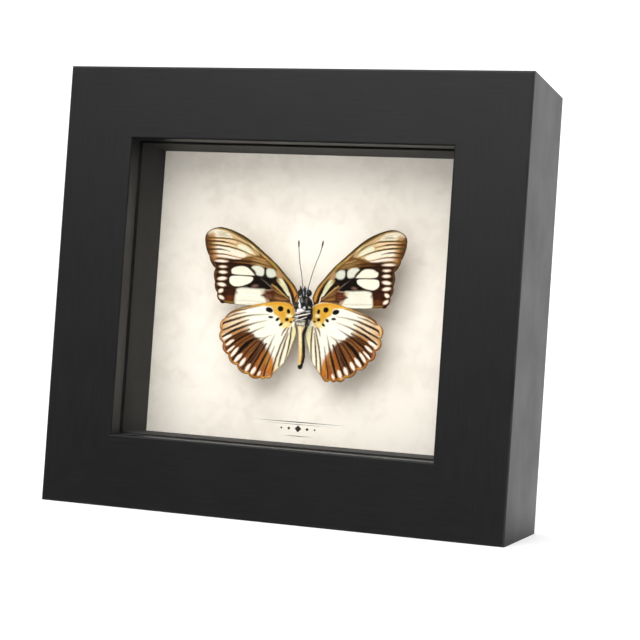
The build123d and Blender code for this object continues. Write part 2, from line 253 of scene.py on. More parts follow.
# ---- Finishes of the case ----------------------------------------------------------
def black_lacquered_wood(settings, along):
    """Beech rail in satin black lacquer, sprayed: the grain only just tells through.

    The lacquer levels out to a satin film: broad soft reflections, faint streaks along the rail,
    and a greyer line where two faces meet, partly rubbed lacquer and partly painted highlight.
    """
    material, tree, shader = new_material(f"black_lacquered_wood_{'xyz'[along]}")
    grain_size = [settings.grain_pitch] * 3
    grain_size[along] *= 25          # grain lines run about 25 times as long as wide
    grain = add(tree, "ShaderNodeTexNoise", {"Vector": object_space(tree, *grain_size), "Scale": 1.0,
        "Detail": 4.0, "Roughness": 0.6})
    cloud = add(tree, "ShaderNodeTexNoise", {"Vector": object_space(tree, 18 * MM), "Scale": 1.0,
        "Detail": 3.0})
    orange_peel = add(tree, "ShaderNodeTexNoise", {"Vector": object_space(tree, 1.6 * MM), "Scale": 1.0,
        "Detail": 2.0})

    place = add(tree, "ShaderNodeSeparateXYZ", {"Vector": object_space(tree)})
    # How near each point is to the outer faces: the sides, the top and bottom, the front.
    nearness = []
    half_width = (cad_bounds[1][0] - cad_bounds[0][0]) / 2
    half_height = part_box("rail_top")[1].z / 2
    rail_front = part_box("rail_bottom")[0].y
    for axis, centre, reach in (("X", 0.0, half_width), ("Z", half_height, half_height)):
        offset = add(tree, "ShaderNodeMath", {0: place.outputs[axis], 1: centre}, operation="SUBTRACT")
        distance = add(tree, "ShaderNodeMath", {0: offset}, operation="ABSOLUTE")
        nearness.append(add(tree, "ShaderNodeMapRange",
            {"Value": distance, "From Min": reach - settings.edge_rub_and_highlight, "From Max": reach},
            interpolation_type="SMOOTHSTEP"))
    nearness.append(add(tree, "ShaderNodeMapRange",
        {"Value": place.outputs["Y"], "From Min": rail_front + settings.edge_rub_and_highlight,
        "From Max": rail_front}, interpolation_type="SMOOTHSTEP"))
    # Lighter grey where two outer faces meet: partly rubbed lacquer, partly a painted edge highlight.
    rub_and_highlight = None
    for first, second in combinations(nearness, 2):
        edge = add(tree, "ShaderNodeMath", {0: first, 1: second}, operation="MULTIPLY")
        rub_and_highlight = edge if rub_and_highlight is None else add(tree, "ShaderNodeMath", {0: rub_and_highlight, 1: edge},
            operation="MAXIMUM")
    patchy = add(tree, "ShaderNodeMapRange", {"Value": cloud, "From Min": 0.35, "From Max": 0.7,
        "To Min": 0.1, "To Max": 0.6})
    # worn carries both the rubbed lacquer and the painted edge highlight, broken up by the cloud.
    worn = add(tree, "ShaderNodeMath", {0: rub_and_highlight, 1: patchy}, operation="MULTIPLY")

    streak = add(tree, "ShaderNodeMapRange", {"Value": grain, "From Min": 0.3, "From Max": 0.75,
        "To Max": 0.5})
    body_colour = add(tree, "ShaderNodeMix", {MIX_FACTOR: streak, MIX_A: settings.lacquer,
        MIX_B: "#212122"}, data_type="RGBA")
    rubbed_and_highlighted = add(tree, "ShaderNodeMix", {MIX_FACTOR: worn, MIX_A: body_colour, MIX_B: "#4b4946"},
        data_type="RGBA")
    dullness = add(tree, "ShaderNodeMapRange", {"Value": cloud, "From Min": 0.3, "From Max": 0.7,
        "To Min": settings.lacquer_roughness - 0.03, "To Max": settings.lacquer_roughness + 0.04})
    grain_bump = add(tree, "ShaderNodeBump", {"Height": grain, "Strength": 0.25, "Distance": 0.03 * MM})
    bump = add(tree, "ShaderNodeBump", {"Height": orange_peel, "Strength": 0.3, "Distance": 0.02 * MM,
        "Normal": grain_bump})
    fill(tree, shader, {"Base Color": rubbed_and_highlighted, "Roughness": dullness, "Normal": bump,
        "Specular IOR Level": 0.28})
    return material


def black_spacer_board(settings):
    """Paper-covered foam board, black, matte: a fine paper tooth under cloudy lint."""
    material, tree, shader = new_material("black_spacer_board")
    tooth = add(tree, "ShaderNodeTexNoise", {"Vector": object_space(tree, 0.5 * MM), "Scale": 1.0,
        "Detail": 5.0, "Roughness": 0.7})
    cloud = add(tree, "ShaderNodeTexNoise", {"Vector": object_space(tree, 11 * MM), "Scale": 1.0,
        "Detail": 3.0})
    lint = add(tree, "ShaderNodeMapRange", {"Value": cloud, "From Min": 0.4, "From Max": 0.75,
        "To Max": 0.35})
    tone = add(tree, "ShaderNodeMix", {MIX_FACTOR: lint, MIX_A: settings.board, MIX_B: "#24211e"},
        data_type="RGBA")
    bump = add(tree, "ShaderNodeBump", {"Height": tooth, "Strength": 0.4, "Distance": 0.05 * MM})
    fill(tree, shader, {"Base Color": tone, "Roughness": 0.75, "Normal": bump})
    return material


def clear_glass():
    """Float glass, 2 mm, polished: clear, with a faint green rim.

    Lamps and scattered light pass straight through, as they all but do in reality.
    """
    material, tree, shader = new_material("clear_glass")
    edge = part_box("glass_pane")[1].x
    place = add(tree, "ShaderNodeSeparateXYZ", {"Vector": object_space(tree)})
    across = add(tree, "ShaderNodeMath", {0: place.outputs["X"]}, operation="ABSOLUTE")
    rim = add(tree, "ShaderNodeMapRange", {"Value": across, "From Min": edge - 1.0 * MM,
        "From Max": edge})
    tint = add(tree, "ShaderNodeMix", {MIX_FACTOR: rim, MIX_A: "#ffffff", MIX_B: "#d4ecdf"},
        data_type="RGBA")
    rays = add(tree, "ShaderNodeLightPath")
    passing = add(tree, "ShaderNodeMath",
        {0: rays.outputs["Is Shadow Ray"], 1: rays.outputs["Is Diffuse Ray"]}, operation="MAXIMUM")
    clear = add(tree, "ShaderNodeBsdfTransparent", {"Color": "#fdfefd"})
    mixed = add(tree, "ShaderNodeMixShader", {0: passing, 1: shader, 2: clear})
    fill(tree, tree.nodes["Material Output"], {"Surface": mixed})
    fill(tree, shader, {"Base Color": tint, "Roughness": 0.0, "IOR": 1.5, "Transmission Weight": 1.0})
    return material


def parchment_paper(settings):
    """Laid parchment-look paper: cloudy cream, soft fibres, and a small printed ornament."""
    material, tree, shader = new_material("parchment_paper")
    fibres = add(tree, "ShaderNodeTexNoise", {"Vector": object_space(tree, 0.9 * MM, 0.9 * MM, 0.5 * MM),
        "Scale": 1.0, "Detail": 6.0, "Roughness": 0.65})
    small = add(tree, "ShaderNodeTexNoise", {"Vector": object_space(tree, 5 * MM), "Scale": 1.0,
        "Detail": 5.0, "Roughness": 0.6, "Distortion": 0.6})
    large = add(tree, "ShaderNodeTexNoise", {"Vector": object_space(tree, 19 * MM), "Scale": 1.0,
        "Detail": 4.0, "Roughness": 0.55, "Distortion": 0.4})
    clouds = add(tree, "ShaderNodeMath", {0: small, 1: large}, operation="ADD")
    mottle = add(tree, "ShaderNodeMapRange", {"Value": clouds, "From Min": 0.85, "From Max": 1.25,
        "To Max": 0.6}, interpolation_type="SMOOTHSTEP")
    tone = add(tree, "ShaderNodeMix", {MIX_FACTOR: mottle, MIX_A: settings.paper,
        MIX_B: settings.paper_mottle}, data_type="RGBA")
    flecks = add(tree, "ShaderNodeMapRange", {"Value": fibres, "From Min": 0.58, "From Max": 0.8,
        "To Max": 0.3})
    flecked = add(tree, "ShaderNodeMix", {MIX_FACTOR: flecks, MIX_A: tone, MIX_B: "#cdbfae"},
        data_type="RGBA")
    inked = add(tree, "ShaderNodeMix", {MIX_FACTOR: ornament_mask(tree), MIX_A: flecked,
        MIX_B: settings.ink}, data_type="RGBA")
    bump = add(tree, "ShaderNodeBump", {"Height": fibres, "Strength": 0.35, "Distance": 0.06 * MM})
    fill(tree, shader, {"Base Color": inked, "Roughness": 0.85, "Normal": bump,
        "Specular IOR Level": 0.25})
    return material


def ornament_mask(tree):
    """Where ink lies: two fine rules over a row of five small diamonds, and one under it."""
    ornament_x, ornament_z = 1.0 * MM, 30.8 * MM
    place = add(tree, "ShaderNodeSeparateXYZ",
        {"Vector": object_space(tree, location=(-ornament_x, 0, -ornament_z))})
    aside = add(tree, "ShaderNodeMath", {0: place.outputs["X"]}, operation="ABSOLUTE")
    mask = None
    # Each rule: half its length, its height above the ornament's middle, half its width.
    for reach, height, half_width in ((17.5, 2.3, 0.16), (13.0, 1.5, 0.08), (6.0, -2.6, 0.12)):
        offset = add(tree, "ShaderNodeMath", {0: place.outputs["Z"], 1: height * MM},
            operation="SUBTRACT")
        away = add(tree, "ShaderNodeMath", {0: offset}, operation="ABSOLUTE")
        # A swelling rule: it thins out to nothing at its ends.
        taper = add(tree, "ShaderNodeMapRange", {"Value": aside, "From Min": 0.0, "From Max": reach * MM,
            "To Min": half_width * MM, "To Max": 0.0})
        rule = add(tree, "ShaderNodeMath", {0: away, 1: taper}, operation="LESS_THAN")
        mask = rule if mask is None else add(tree, "ShaderNodeMath", {0: mask, 1: rule},
            operation="MAXIMUM")
    height = add(tree, "ShaderNodeMath", {0: place.outputs["Z"]}, operation="ABSOLUTE")
    for centre, half in ((0.0, 1.25), (3.4, 0.6), (6.2, 0.4)):
        sideways = add(tree, "ShaderNodeMath", {0: aside, 1: centre * MM}, operation="SUBTRACT")
        sideways = add(tree, "ShaderNodeMath", {0: sideways}, operation="ABSOLUTE")
        spread = add(tree, "ShaderNodeMath", {0: sideways, 1: height}, operation="ADD")
        diamond = add(tree, "ShaderNodeMath", {0: spread, 1: half * MM}, operation="LESS_THAN")
        mask = add(tree, "ShaderNodeMath", {0: mask, 1: diamond}, operation="MAXIMUM")
    return mask


def white_foam():
    """Expanded polystyrene, cut with a hot wire: pale beads pressed against each other."""
    material, tree, shader = new_material("white_foam")
    beads = add(tree, "ShaderNodeTexVoronoi", {"Vector": object_space(tree, 2.2 * MM), "Scale": 1.0},
        feature="DISTANCE_TO_EDGE")
    seam = add(tree, "ShaderNodeMapRange", {"Value": beads, "From Min": 0.0, "From Max": 0.12})
    tone = add(tree, "ShaderNodeMix", {MIX_FACTOR: seam, MIX_A: "#cfcbc2", MIX_B: "#f0eee8"},
        data_type="RGBA")
    bump = add(tree, "ShaderNodeBump", {"Height": seam, "Strength": 0.5, "Distance": 0.15 * MM})
    fill(tree, shader, {"Base Color": tone, "Roughness": 0.7, "Normal": bump})
    return material


def corrugated_card():
    """Kraft board: brown liner with the flutes showing through as faint ribs."""
    material, tree, shader = new_material("corrugated_card")
    flutes = add(tree, "ShaderNodeTexWave", {"Vector": object_space(tree, 6.5 * MM),
        "Scale": 1 / math.tau * 2, "Distortion": 0.2}, bands_direction="X")
    pulp = add(tree, "ShaderNodeTexNoise", {"Vector": object_space(tree, 1.2 * MM), "Scale": 1.0,
        "Detail": 5.0})
    tone = add(tree, "ShaderNodeMix", {MIX_FACTOR: pulp, MIX_A: "#8f6a45", MIX_B: "#c39c70"},
        data_type="RGBA")
    bump = add(tree, "ShaderNodeBump", {"Height": flutes.outputs["Fac"], "Strength": 0.3,
        "Distance": 0.2 * MM})
    fill(tree, shader, {"Base Color": tone, "Roughness": 0.9, "Normal": bump})
    return material


def brown_hardboard():
    """Pressed hardboard, its screen side out: a woven mesh print over mixed brown fibres."""
    material, tree, shader = new_material("brown_hardboard")
    mesh_pitch = 1.4 * MM            # the press screen's wires
    fibres = add(tree, "ShaderNodeTexNoise", {"Vector": object_space(tree, 1.5 * MM, 1.5 * MM, 0.6 * MM),
        "Scale": 1.0, "Detail": 7.0, "Roughness": 0.7, "Distortion": 1.2})
    cloud = add(tree, "ShaderNodeTexNoise", {"Vector": object_space(tree, 20 * MM), "Scale": 1.0,
        "Detail": 3.0})
    place = add(tree, "ShaderNodeSeparateXYZ", {"Vector": object_space(tree, mesh_pitch / math.tau)})
    weft = add(tree, "ShaderNodeMath", {0: place.outputs["X"]}, operation="SINE")
    warp = add(tree, "ShaderNodeMath", {0: place.outputs["Z"]}, operation="SINE")
    screen = add(tree, "ShaderNodeMath", {0: weft, 1: warp}, operation="MULTIPLY")
    tone = add(tree, "ShaderNodeMix", {MIX_FACTOR: fibres, MIX_A: "#4a2f1b", MIX_B: "#9a7147"},
        data_type="RGBA")
    patchy = add(tree, "ShaderNodeMix", {MIX_FACTOR: cloud, MIX_A: tone, MIX_B: "#6d4a2c"},
        data_type="RGBA")
    coarse = add(tree, "ShaderNodeBump", {"Height": screen, "Strength": 0.6, "Distance": 0.12 * MM})
    bump = add(tree, "ShaderNodeBump", {"Height": fibres, "Strength": 0.3, "Distance": 0.08 * MM,
        "Normal": coarse})
    fill(tree, shader, {"Base Color": patchy, "Roughness": 0.8, "Normal": bump})
    return material


def plated_steel(name, bright, dull, roughness):
    """Stamped steel with a thin bright plating: fine rolling lines and cloudy lustre."""
    material, tree, shader = new_material(name)
    lines = add(tree, "ShaderNodeTexNoise", {"Vector": object_space(tree, 4 * MM, 0.25 * MM, 0.25 * MM),
        "Scale": 1.0, "Detail": 4.0})
    cloud = add(tree, "ShaderNodeTexNoise", {"Vector": object_space(tree, 2.5 * MM), "Scale": 1.0,
        "Detail": 4.0})
    tone = add(tree, "ShaderNodeMix", {MIX_FACTOR: cloud, MIX_A: bright, MIX_B: dull}, data_type="RGBA")
    sheen = add(tree, "ShaderNodeMapRange", {"Value": cloud, "From Min": 0.3, "From Max": 0.7,
        "To Min": roughness - 0.06, "To Max": roughness + 0.1})
    bump = add(tree, "ShaderNodeBump", {"Height": lines, "Strength": 0.2, "Distance": 0.02 * MM})
    fill(tree, shader, {"Base Color": tone, "Metallic": 1.0, "Roughness": sheen, "Normal": bump})
    return material


def black_rubber():
    """Moulded rubber foot: matte, slightly dusty, with a fine spark-eroded skin."""
    material, tree, shader = new_material("black_rubber")
    skin = add(tree, "ShaderNodeTexNoise", {"Vector": object_space(tree, 0.4 * MM), "Scale": 1.0,
        "Detail": 4.0})
    tone = add(tree, "ShaderNodeMix", {MIX_FACTOR: skin, MIX_A: "#161616", MIX_B: "#2a2928"},
        data_type="RGBA")
    bump = add(tree, "ShaderNodeBump", {"Height": skin, "Strength": 0.3, "Distance": 0.05 * MM})
    fill(tree, shader, {"Base Color": tone, "Roughness": 0.8, "Normal": bump})
    return material


# ---- Finishes of the specimen ------------------------------------------------------
def scaled_wing():
    """Wing membrane under dusty overlapping scales: velvety, with a slight silky lustre.

    The colour is laid on the wing's own points. Scales are 0.1 mm long, and are drawn at
    twice that, so that their grain shows.
    """
    material, tree, shader = new_material("scaled_wing")
    laid = add(tree, "ShaderNodeAttribute", attribute_name="scale_colour")
    grain = add(tree, "ShaderNodeTexVoronoi", {"Vector": object_space(tree, 0.2 * MM), "Scale": 1.0})
    shade = add(tree, "ShaderNodeMapRange", {"Value": grain, "From Min": 0.0, "From Max": 0.8,
        "To Min": 1.04, "To Max": 0.9})
    tone = add(tree, "ShaderNodeVectorMath", {0: laid, 1: shade}, operation="MULTIPLY")
    bump = add(tree, "ShaderNodeBump", {"Height": grain, "Strength": 0.2, "Distance": 0.03 * MM})
    fill(tree, shader, {"Base Color": tone, "Roughness": 0.6, "Normal": bump,
        "Specular IOR Level": 0.03})
    return material


def insect_fur():
    """Hair and scales of the body: dull, with a soft sheen along each hair."""
    material, tree, shader = new_material("insect_fur")
    laid = add(tree, "ShaderNodeAttribute", attribute_name="scale_colour")
    patchy = add(tree, "ShaderNodeTexNoise", {"Vector": object_space(tree, 0.3 * MM), "Scale": 1.0,
        "Detail": 3.0})
    shade = add(tree, "ShaderNodeMapRange", {"Value": patchy, "From Min": 0.3, "From Max": 0.7,
        "To Min": 0.8, "To Max": 1.15})
    tone = add(tree, "ShaderNodeVectorMath", {0: laid, 1: shade}, operation="MULTIPLY")
    bump = add(tree, "ShaderNodeBump", {"Height": patchy, "Strength": 0.3, "Distance": 0.05 * MM})
    fill(tree, shader, {"Base Color": tone, "Roughness": 0.6, "Normal": bump, "Specular IOR Level": 0.2,
        "Sheen Weight": 0.05, "Sheen Roughness": 0.5})
    return material


def dark_chitin(name, tone_a, tone_b, roughness, facet):
    """Hard insect skin: dark, waxy and finely pitted."""
    material, tree, shader = new_material(name)
    pits = add(tree, "ShaderNodeTexVoronoi", {"Vector": object_space(tree, facet), "Scale": 1.0})
    tone = add(tree, "ShaderNodeMix", {MIX_FACTOR: pits, MIX_A: tone_a, MIX_B: tone_b}, data_type="RGBA")
    bump = add(tree, "ShaderNodeBump", {"Height": pits, "Strength": 0.5, "Distance": 0.03 * MM})
    fill(tree, shader, {"Base Color": tone, "Roughness": roughness, "Normal": bump, "IOR": 1.56})
    return material


# ---- Laying scales on a surface ----------------------------------------------------
def ripple(points, wavelength, amount, seed):
    """Smooth irregular values over flat points, from waves in many directions."""
    draw = np.random.default_rng(seed)
    waves = 14
    total = np.zeros(len(points))
    for _ in range(waves):
        angle, phase = draw.uniform(0, math.tau, 2)
        length = wavelength * draw.uniform(0.6, 1.7)
        across = points[:, 0] * math.cos(angle) + points[:, 1] * math.sin(angle)
        total += np.sin(across * math.tau / length + phase)
    return total * amount / math.sqrt(waves)


def flowing(points, steps=4):
    """A smooth line through points, with a few short runs between each two."""
    held = [points[0], *points, points[-1]]
    line = []
    for before, start, end, after in zip(held, held[1:], held[2:], held[3:]):
        before, start, end, after = (np.array(p, float) for p in (before, start, end, after))
        for step in range(steps):
            t = step / steps
            line.append(0.5 * (2 * start + (end - before) * t
                               + (2 * before - 5 * start + 4 * end - after) * t ** 2
                               + (3 * start - before - 3 * end + after) * t ** 3))
    line.append(np.array(points[-1], float))
    return np.array(line)


def smooth(edge_low, edge_high, value):
    """0 below one edge, 1 above the other, and an even rise between them."""
    t = np.clip((value - edge_low) / (edge_high - edge_low), 0, 1)
    return t * t * (3 - 2 * t)


def inside_ring(points, ring):
    """Which points lie inside a ring."""
    inside = np.zeros(len(points), bool)
    x, y = points.T
    for (x0, y0), (x1, y1) in zip(ring, np.roll(ring, -1, axis=0)):
        if y0 != y1:
            crosses = (y0 > y) != (y1 > y)
            inside ^= crosses & (x < x0 + (y - y0) * (x1 - x0) / (y1 - y0))
    return inside


class Scales:
    """Colours and relief laid over a surface's points, in millimetres on a flat plan."""

    def __init__(self, flat, ground, seed):
        self.draw = np.random.default_rng(seed)
        self.seed = seed
        self.count = len(flat)
        self.plan = flat.copy()
        self.at = flat + np.column_stack([ripple(flat, 2.2, 0.035, seed + 1),
            ripple(flat, 2.2, 0.035, seed + 2)])
        self.tint = np.tile(np.array(colour(ground)[:3]), (self.count, 1))
        self.relief = np.zeros(self.count)
        self.inset = None            # how far each point lies inside the outline

    def keep_inset(self, outline):
        """Note how far each point lies from a closed outline."""
        ring = np.vstack([outline, outline[:1]])[::2]
        self.inset, _ = self.distance_to(ring, np.zeros(len(ring)), np.arange(self.count))

    def lay(self, hex_code, cover, among=slice(None)):
        """Cover some points, or all, with one colour, more or less at each."""
        self.tint[among] += (np.array(colour(hex_code)[:3]) - self.tint[among]) * cover[:, None]

    def near(self, line, reach):
        """Which points lie within a reach of a line's box."""
        low, high = np.min(line, axis=0) - reach, np.max(line, axis=0) + reach
        return np.flatnonzero(((self.at > low) & (self.at < high)).all(axis=1))

    def distance_to(self, line, widths, among):
        """Distance to a line less half its width there, and the share of the line there."""
        nearest = np.full(len(among), 1e3)
        share = np.zeros(len(among))
        at = self.at[among]
        for index, (start, end) in enumerate(zip(line, line[1:])):
            run = end - start
            length = max(float(run @ run), 1e-9)
            along = np.clip(((at - start) @ run) / length, 0, 1)
            away = np.hypot(*(at - start - along[:, None] * run).T)
            away -= (widths[index] + (widths[index + 1] - widths[index]) * along) / 2
            closer = away < nearest
            nearest[closer] = away[closer]
            share[closer] = index + along[closer]
        return nearest, share / (len(line) - 1)

    def stroke(self, hex_code, points, widths, soft=0.16, strength=1.0, rise=0.0):
        """A line of scales; a vein under it may stand up by a rise in millimetres."""
        line = flowing(points)
        even = np.linspace(0, 1, len(line))
        spread = np.interp(even, np.linspace(0, 1, len(widths)), widths)
        among = self.near(line, max(widths) + soft + 0.3)
        nearest, share = self.distance_to(line, spread, among)
        strength = np.atleast_1d(strength)
        cover = np.interp(share, np.linspace(0, 1, len(strength)), strength)
        self.lay(hex_code, cover * (1 - smooth(-soft, soft, nearest)), among)
        self.relief[among] += rise * cover * (1 - smooth(-0.25, 0.25, nearest))

    def patch(self, hex_code, outline, soft=0.2, strength=1.0):
        """A filled outline with a soft edge."""
        ring = flowing([*outline, outline[0]], 3)
        among = self.near(ring, soft)
        nearest, _ = self.distance_to(ring, np.zeros(len(ring)), among)
        inside = inside_ring(self.at[among], ring)
        signed = np.where(inside, -nearest, nearest)
        self.lay(hex_code, strength * (1 - smooth(-soft, soft, signed)), among)

    def spot(self, hex_code, centre, size, tilt=0.0, soft=0.16, strength=1.0):
        """An oval of scales, its long side turned by a tilt in degrees."""
        turn = math.radians(tilt)
        x, y = (self.at - np.array(centre)).T
        along = x * math.cos(turn) + y * math.sin(turn)
        across = -x * math.sin(turn) + y * math.cos(turn)
        half = np.array(size) / 2
        nearest = (np.hypot(along / half[0], across / half[1]) - 1) * half.min()
        self.lay(hex_code, strength * (1 - smooth(-soft, soft, nearest)))

    def fan(self, tones, starts, ends, count, width=0.16, strength=0.4):
        """Fine streaks from one line to another, each in one of the tones."""
        starts, ends = np.array(starts, float), np.array(ends, float)
        for step in range(count):
            share = (step + self.draw.uniform(0.1, 0.9)) / count
            start = starts[0] + (starts[1] - starts[0]) * share
            end = ends[0] + (ends[1] - ends[0]) * share
            cut = self.draw.uniform(0, 0.35, 2)
            points = [start + (end - start) * cut[0], end + (start - end) * cut[1]]
            tone = tones[int(self.draw.integers(len(tones)))]
            self.stroke(tone, points, [0.04, width, width, 0.04], soft=0.12,
                strength=strength * self.draw.uniform(0.5, 1.2))

    def rim(self, hex_code, width, soft, strength=1.0):
        """A band along the edge of the whole surface, more or less strong at each point."""
        self.lay(hex_code, strength * (1 - smooth(width - soft, width + soft, self.inset)))

    def dapple(self, amount):
        """Small differences in tone from scale to scale."""
        grain = (self.draw.normal(0, amount, self.count) + ripple(self.plan, 0.7, amount, self.seed))
        self.tint *= np.clip(1 + grain, 0.5, 1.5)[:, None]


# ---- Wing patterns -----------------------------------------------------------------
# Points are millimetres out from the body's axis and above the specimen's datum.
def forewing_tip(scales):
    """Streaked tip: cream windows and tan edges between fine brown veins."""
    stroke, patch, fan = scales.stroke, scales.patch, scales.fan
    patch("#d3b182", [(17.5, 17.6), (20.0, 20.3), (23.5, 22.7), (28.0, 25.0), (32.0, 26.0), (35.2, 25.2),
        (37.0, 22.8), (36.6, 19.0), (35.2, 16.3), (31.0, 15.9), (25.0, 15.8), (21.2, 16.9)], soft=0.5,
        strength=0.95)
    fan(("#8f7444", "#a88a58", "#e4d4ac"), ((18.5, 18.3), (19.4, 20.3)), ((30.0, 23.2), (30.0, 25.2)),
        16, 0.22, 0.5)
    patch("#e2dac6", [(27.4, 22.9), (28.6, 24.6), (32.0, 25.6), (35.0, 25.2), (36.6, 23.6), (36.4, 22.9),
        (31.0, 23.0)], soft=0.5, strength=0.9)
    fan(("#a3936f", "#8c7c58", "#b8a888", "#efe8d8"), ((27.2, 23.1), (27.6, 24.6)),
        ((34.5, 23.3), (33.6, 25.2)), 13, 0.2, 0.75)
    patch("#dbd6ba", [(19.5, 18.0), (21.0, 19.5), (22.6, 20.5), (24.4, 21.0), (25.4, 20.4), (25.0, 19.5),
        (23.0, 18.7), (21.0, 17.8)], soft=0.28)
    patch("#e4dbc6", [(21.9, 17.2), (23.0, 18.0), (25.4, 18.9), (29.0, 19.4), (33.6, 19.6), (34.4, 18.6),
        (33.4, 17.7), (28.4, 17.3), (25.0, 16.6), (23.0, 16.4)], soft=0.25)
    stroke("#f0dccf", [(24.0, 15.8), (26.7, 16.1), (29.5, 16.5), (33.9, 16.5)], [0.3, 0.8, 0.85, 0.6],
        strength=(0.7, 1.0, 1.0, 0.6))
    stroke("#e2c39e", [(26.0, 21.5), (29.0, 22.1), (35.0, 22.1)], [0.4, 0.7, 0.6], soft=0.25)
    stroke("#e6d0aa", [(26.5, 20.2), (30.0, 20.8), (35.0, 20.9)], [0.3, 0.7, 0.6], soft=0.25)
    stroke("#efdcc6", [(28.0, 19.4), (31.0, 19.6), (34.4, 19.4)], [0.5, 0.6], soft=0.25)
    # The tan edge darkens into the outer margin.
    stroke("#a87844", [(34.8, 23.4), (34.6, 20.0), (33.8, 16.4)], [2.2, 2.8, 2.6], soft=1.0,
        strength=0.95)
    stroke("#6e4018", [(36.2, 23.2), (35.7, 20.0), (34.9, 16.4)], [1.6, 2.2, 2.0], soft=0.7,
        strength=0.95)
    stroke("#3e200c", [(36.9, 23.6), (36.6, 20.6), (35.4, 17.0)], [0.9, 1.0, 0.8], soft=0.35,
        strength=0.9)
    # Fine veins, greyer by the windows and browner outwards.
    for tone, points, widths, cover in (
        ("#5e4416", [(17.6, 16.9), (20.0, 19.4), (22.0, 20.8), (24.6, 21.9), (27.8, 22.6), (32.2, 22.7),
            (36.4, 22.6)], [0.25, 0.4, 0.48, 0.62, 0.62], (0.5, 1.0, 0.8, 1.0, 1.0)),
        ("#4a2608", [(25.4, 20.6), (28.0, 21.0), (30.6, 21.5), (33.3, 21.55), (36.4, 21.4)],
            [0.3, 0.62, 0.66], (0.5, 1.0, 1.0)),
        ("#4c3c1e", [(17.0, 15.4), (19.4, 17.0), (22.0, 18.2), (25.0, 19.1), (28.5, 19.85), (32.2, 20.2),
            (36.2, 20.2)], [0.25, 0.34, 0.46, 0.62, 0.74], (0.5, 0.9, 1.0, 1.0)),
        ("#422a0e", [(28.0, 18.2), (30.2, 18.7), (32.4, 18.8), (35.8, 18.5)], [0.3, 0.56, 0.6],
            (0.5, 1.0, 1.0)),
        ("#4c361c", [(24.4, 16.1), (27.2, 16.65), (30.2, 17.15), (33.0, 17.2), (35.8, 17.0)],
            [0.25, 0.42, 0.6], (0.6, 0.95, 1.0)),
    ):
        stroke(tone, points, widths, soft=0.15, strength=cover, rise=0.06)


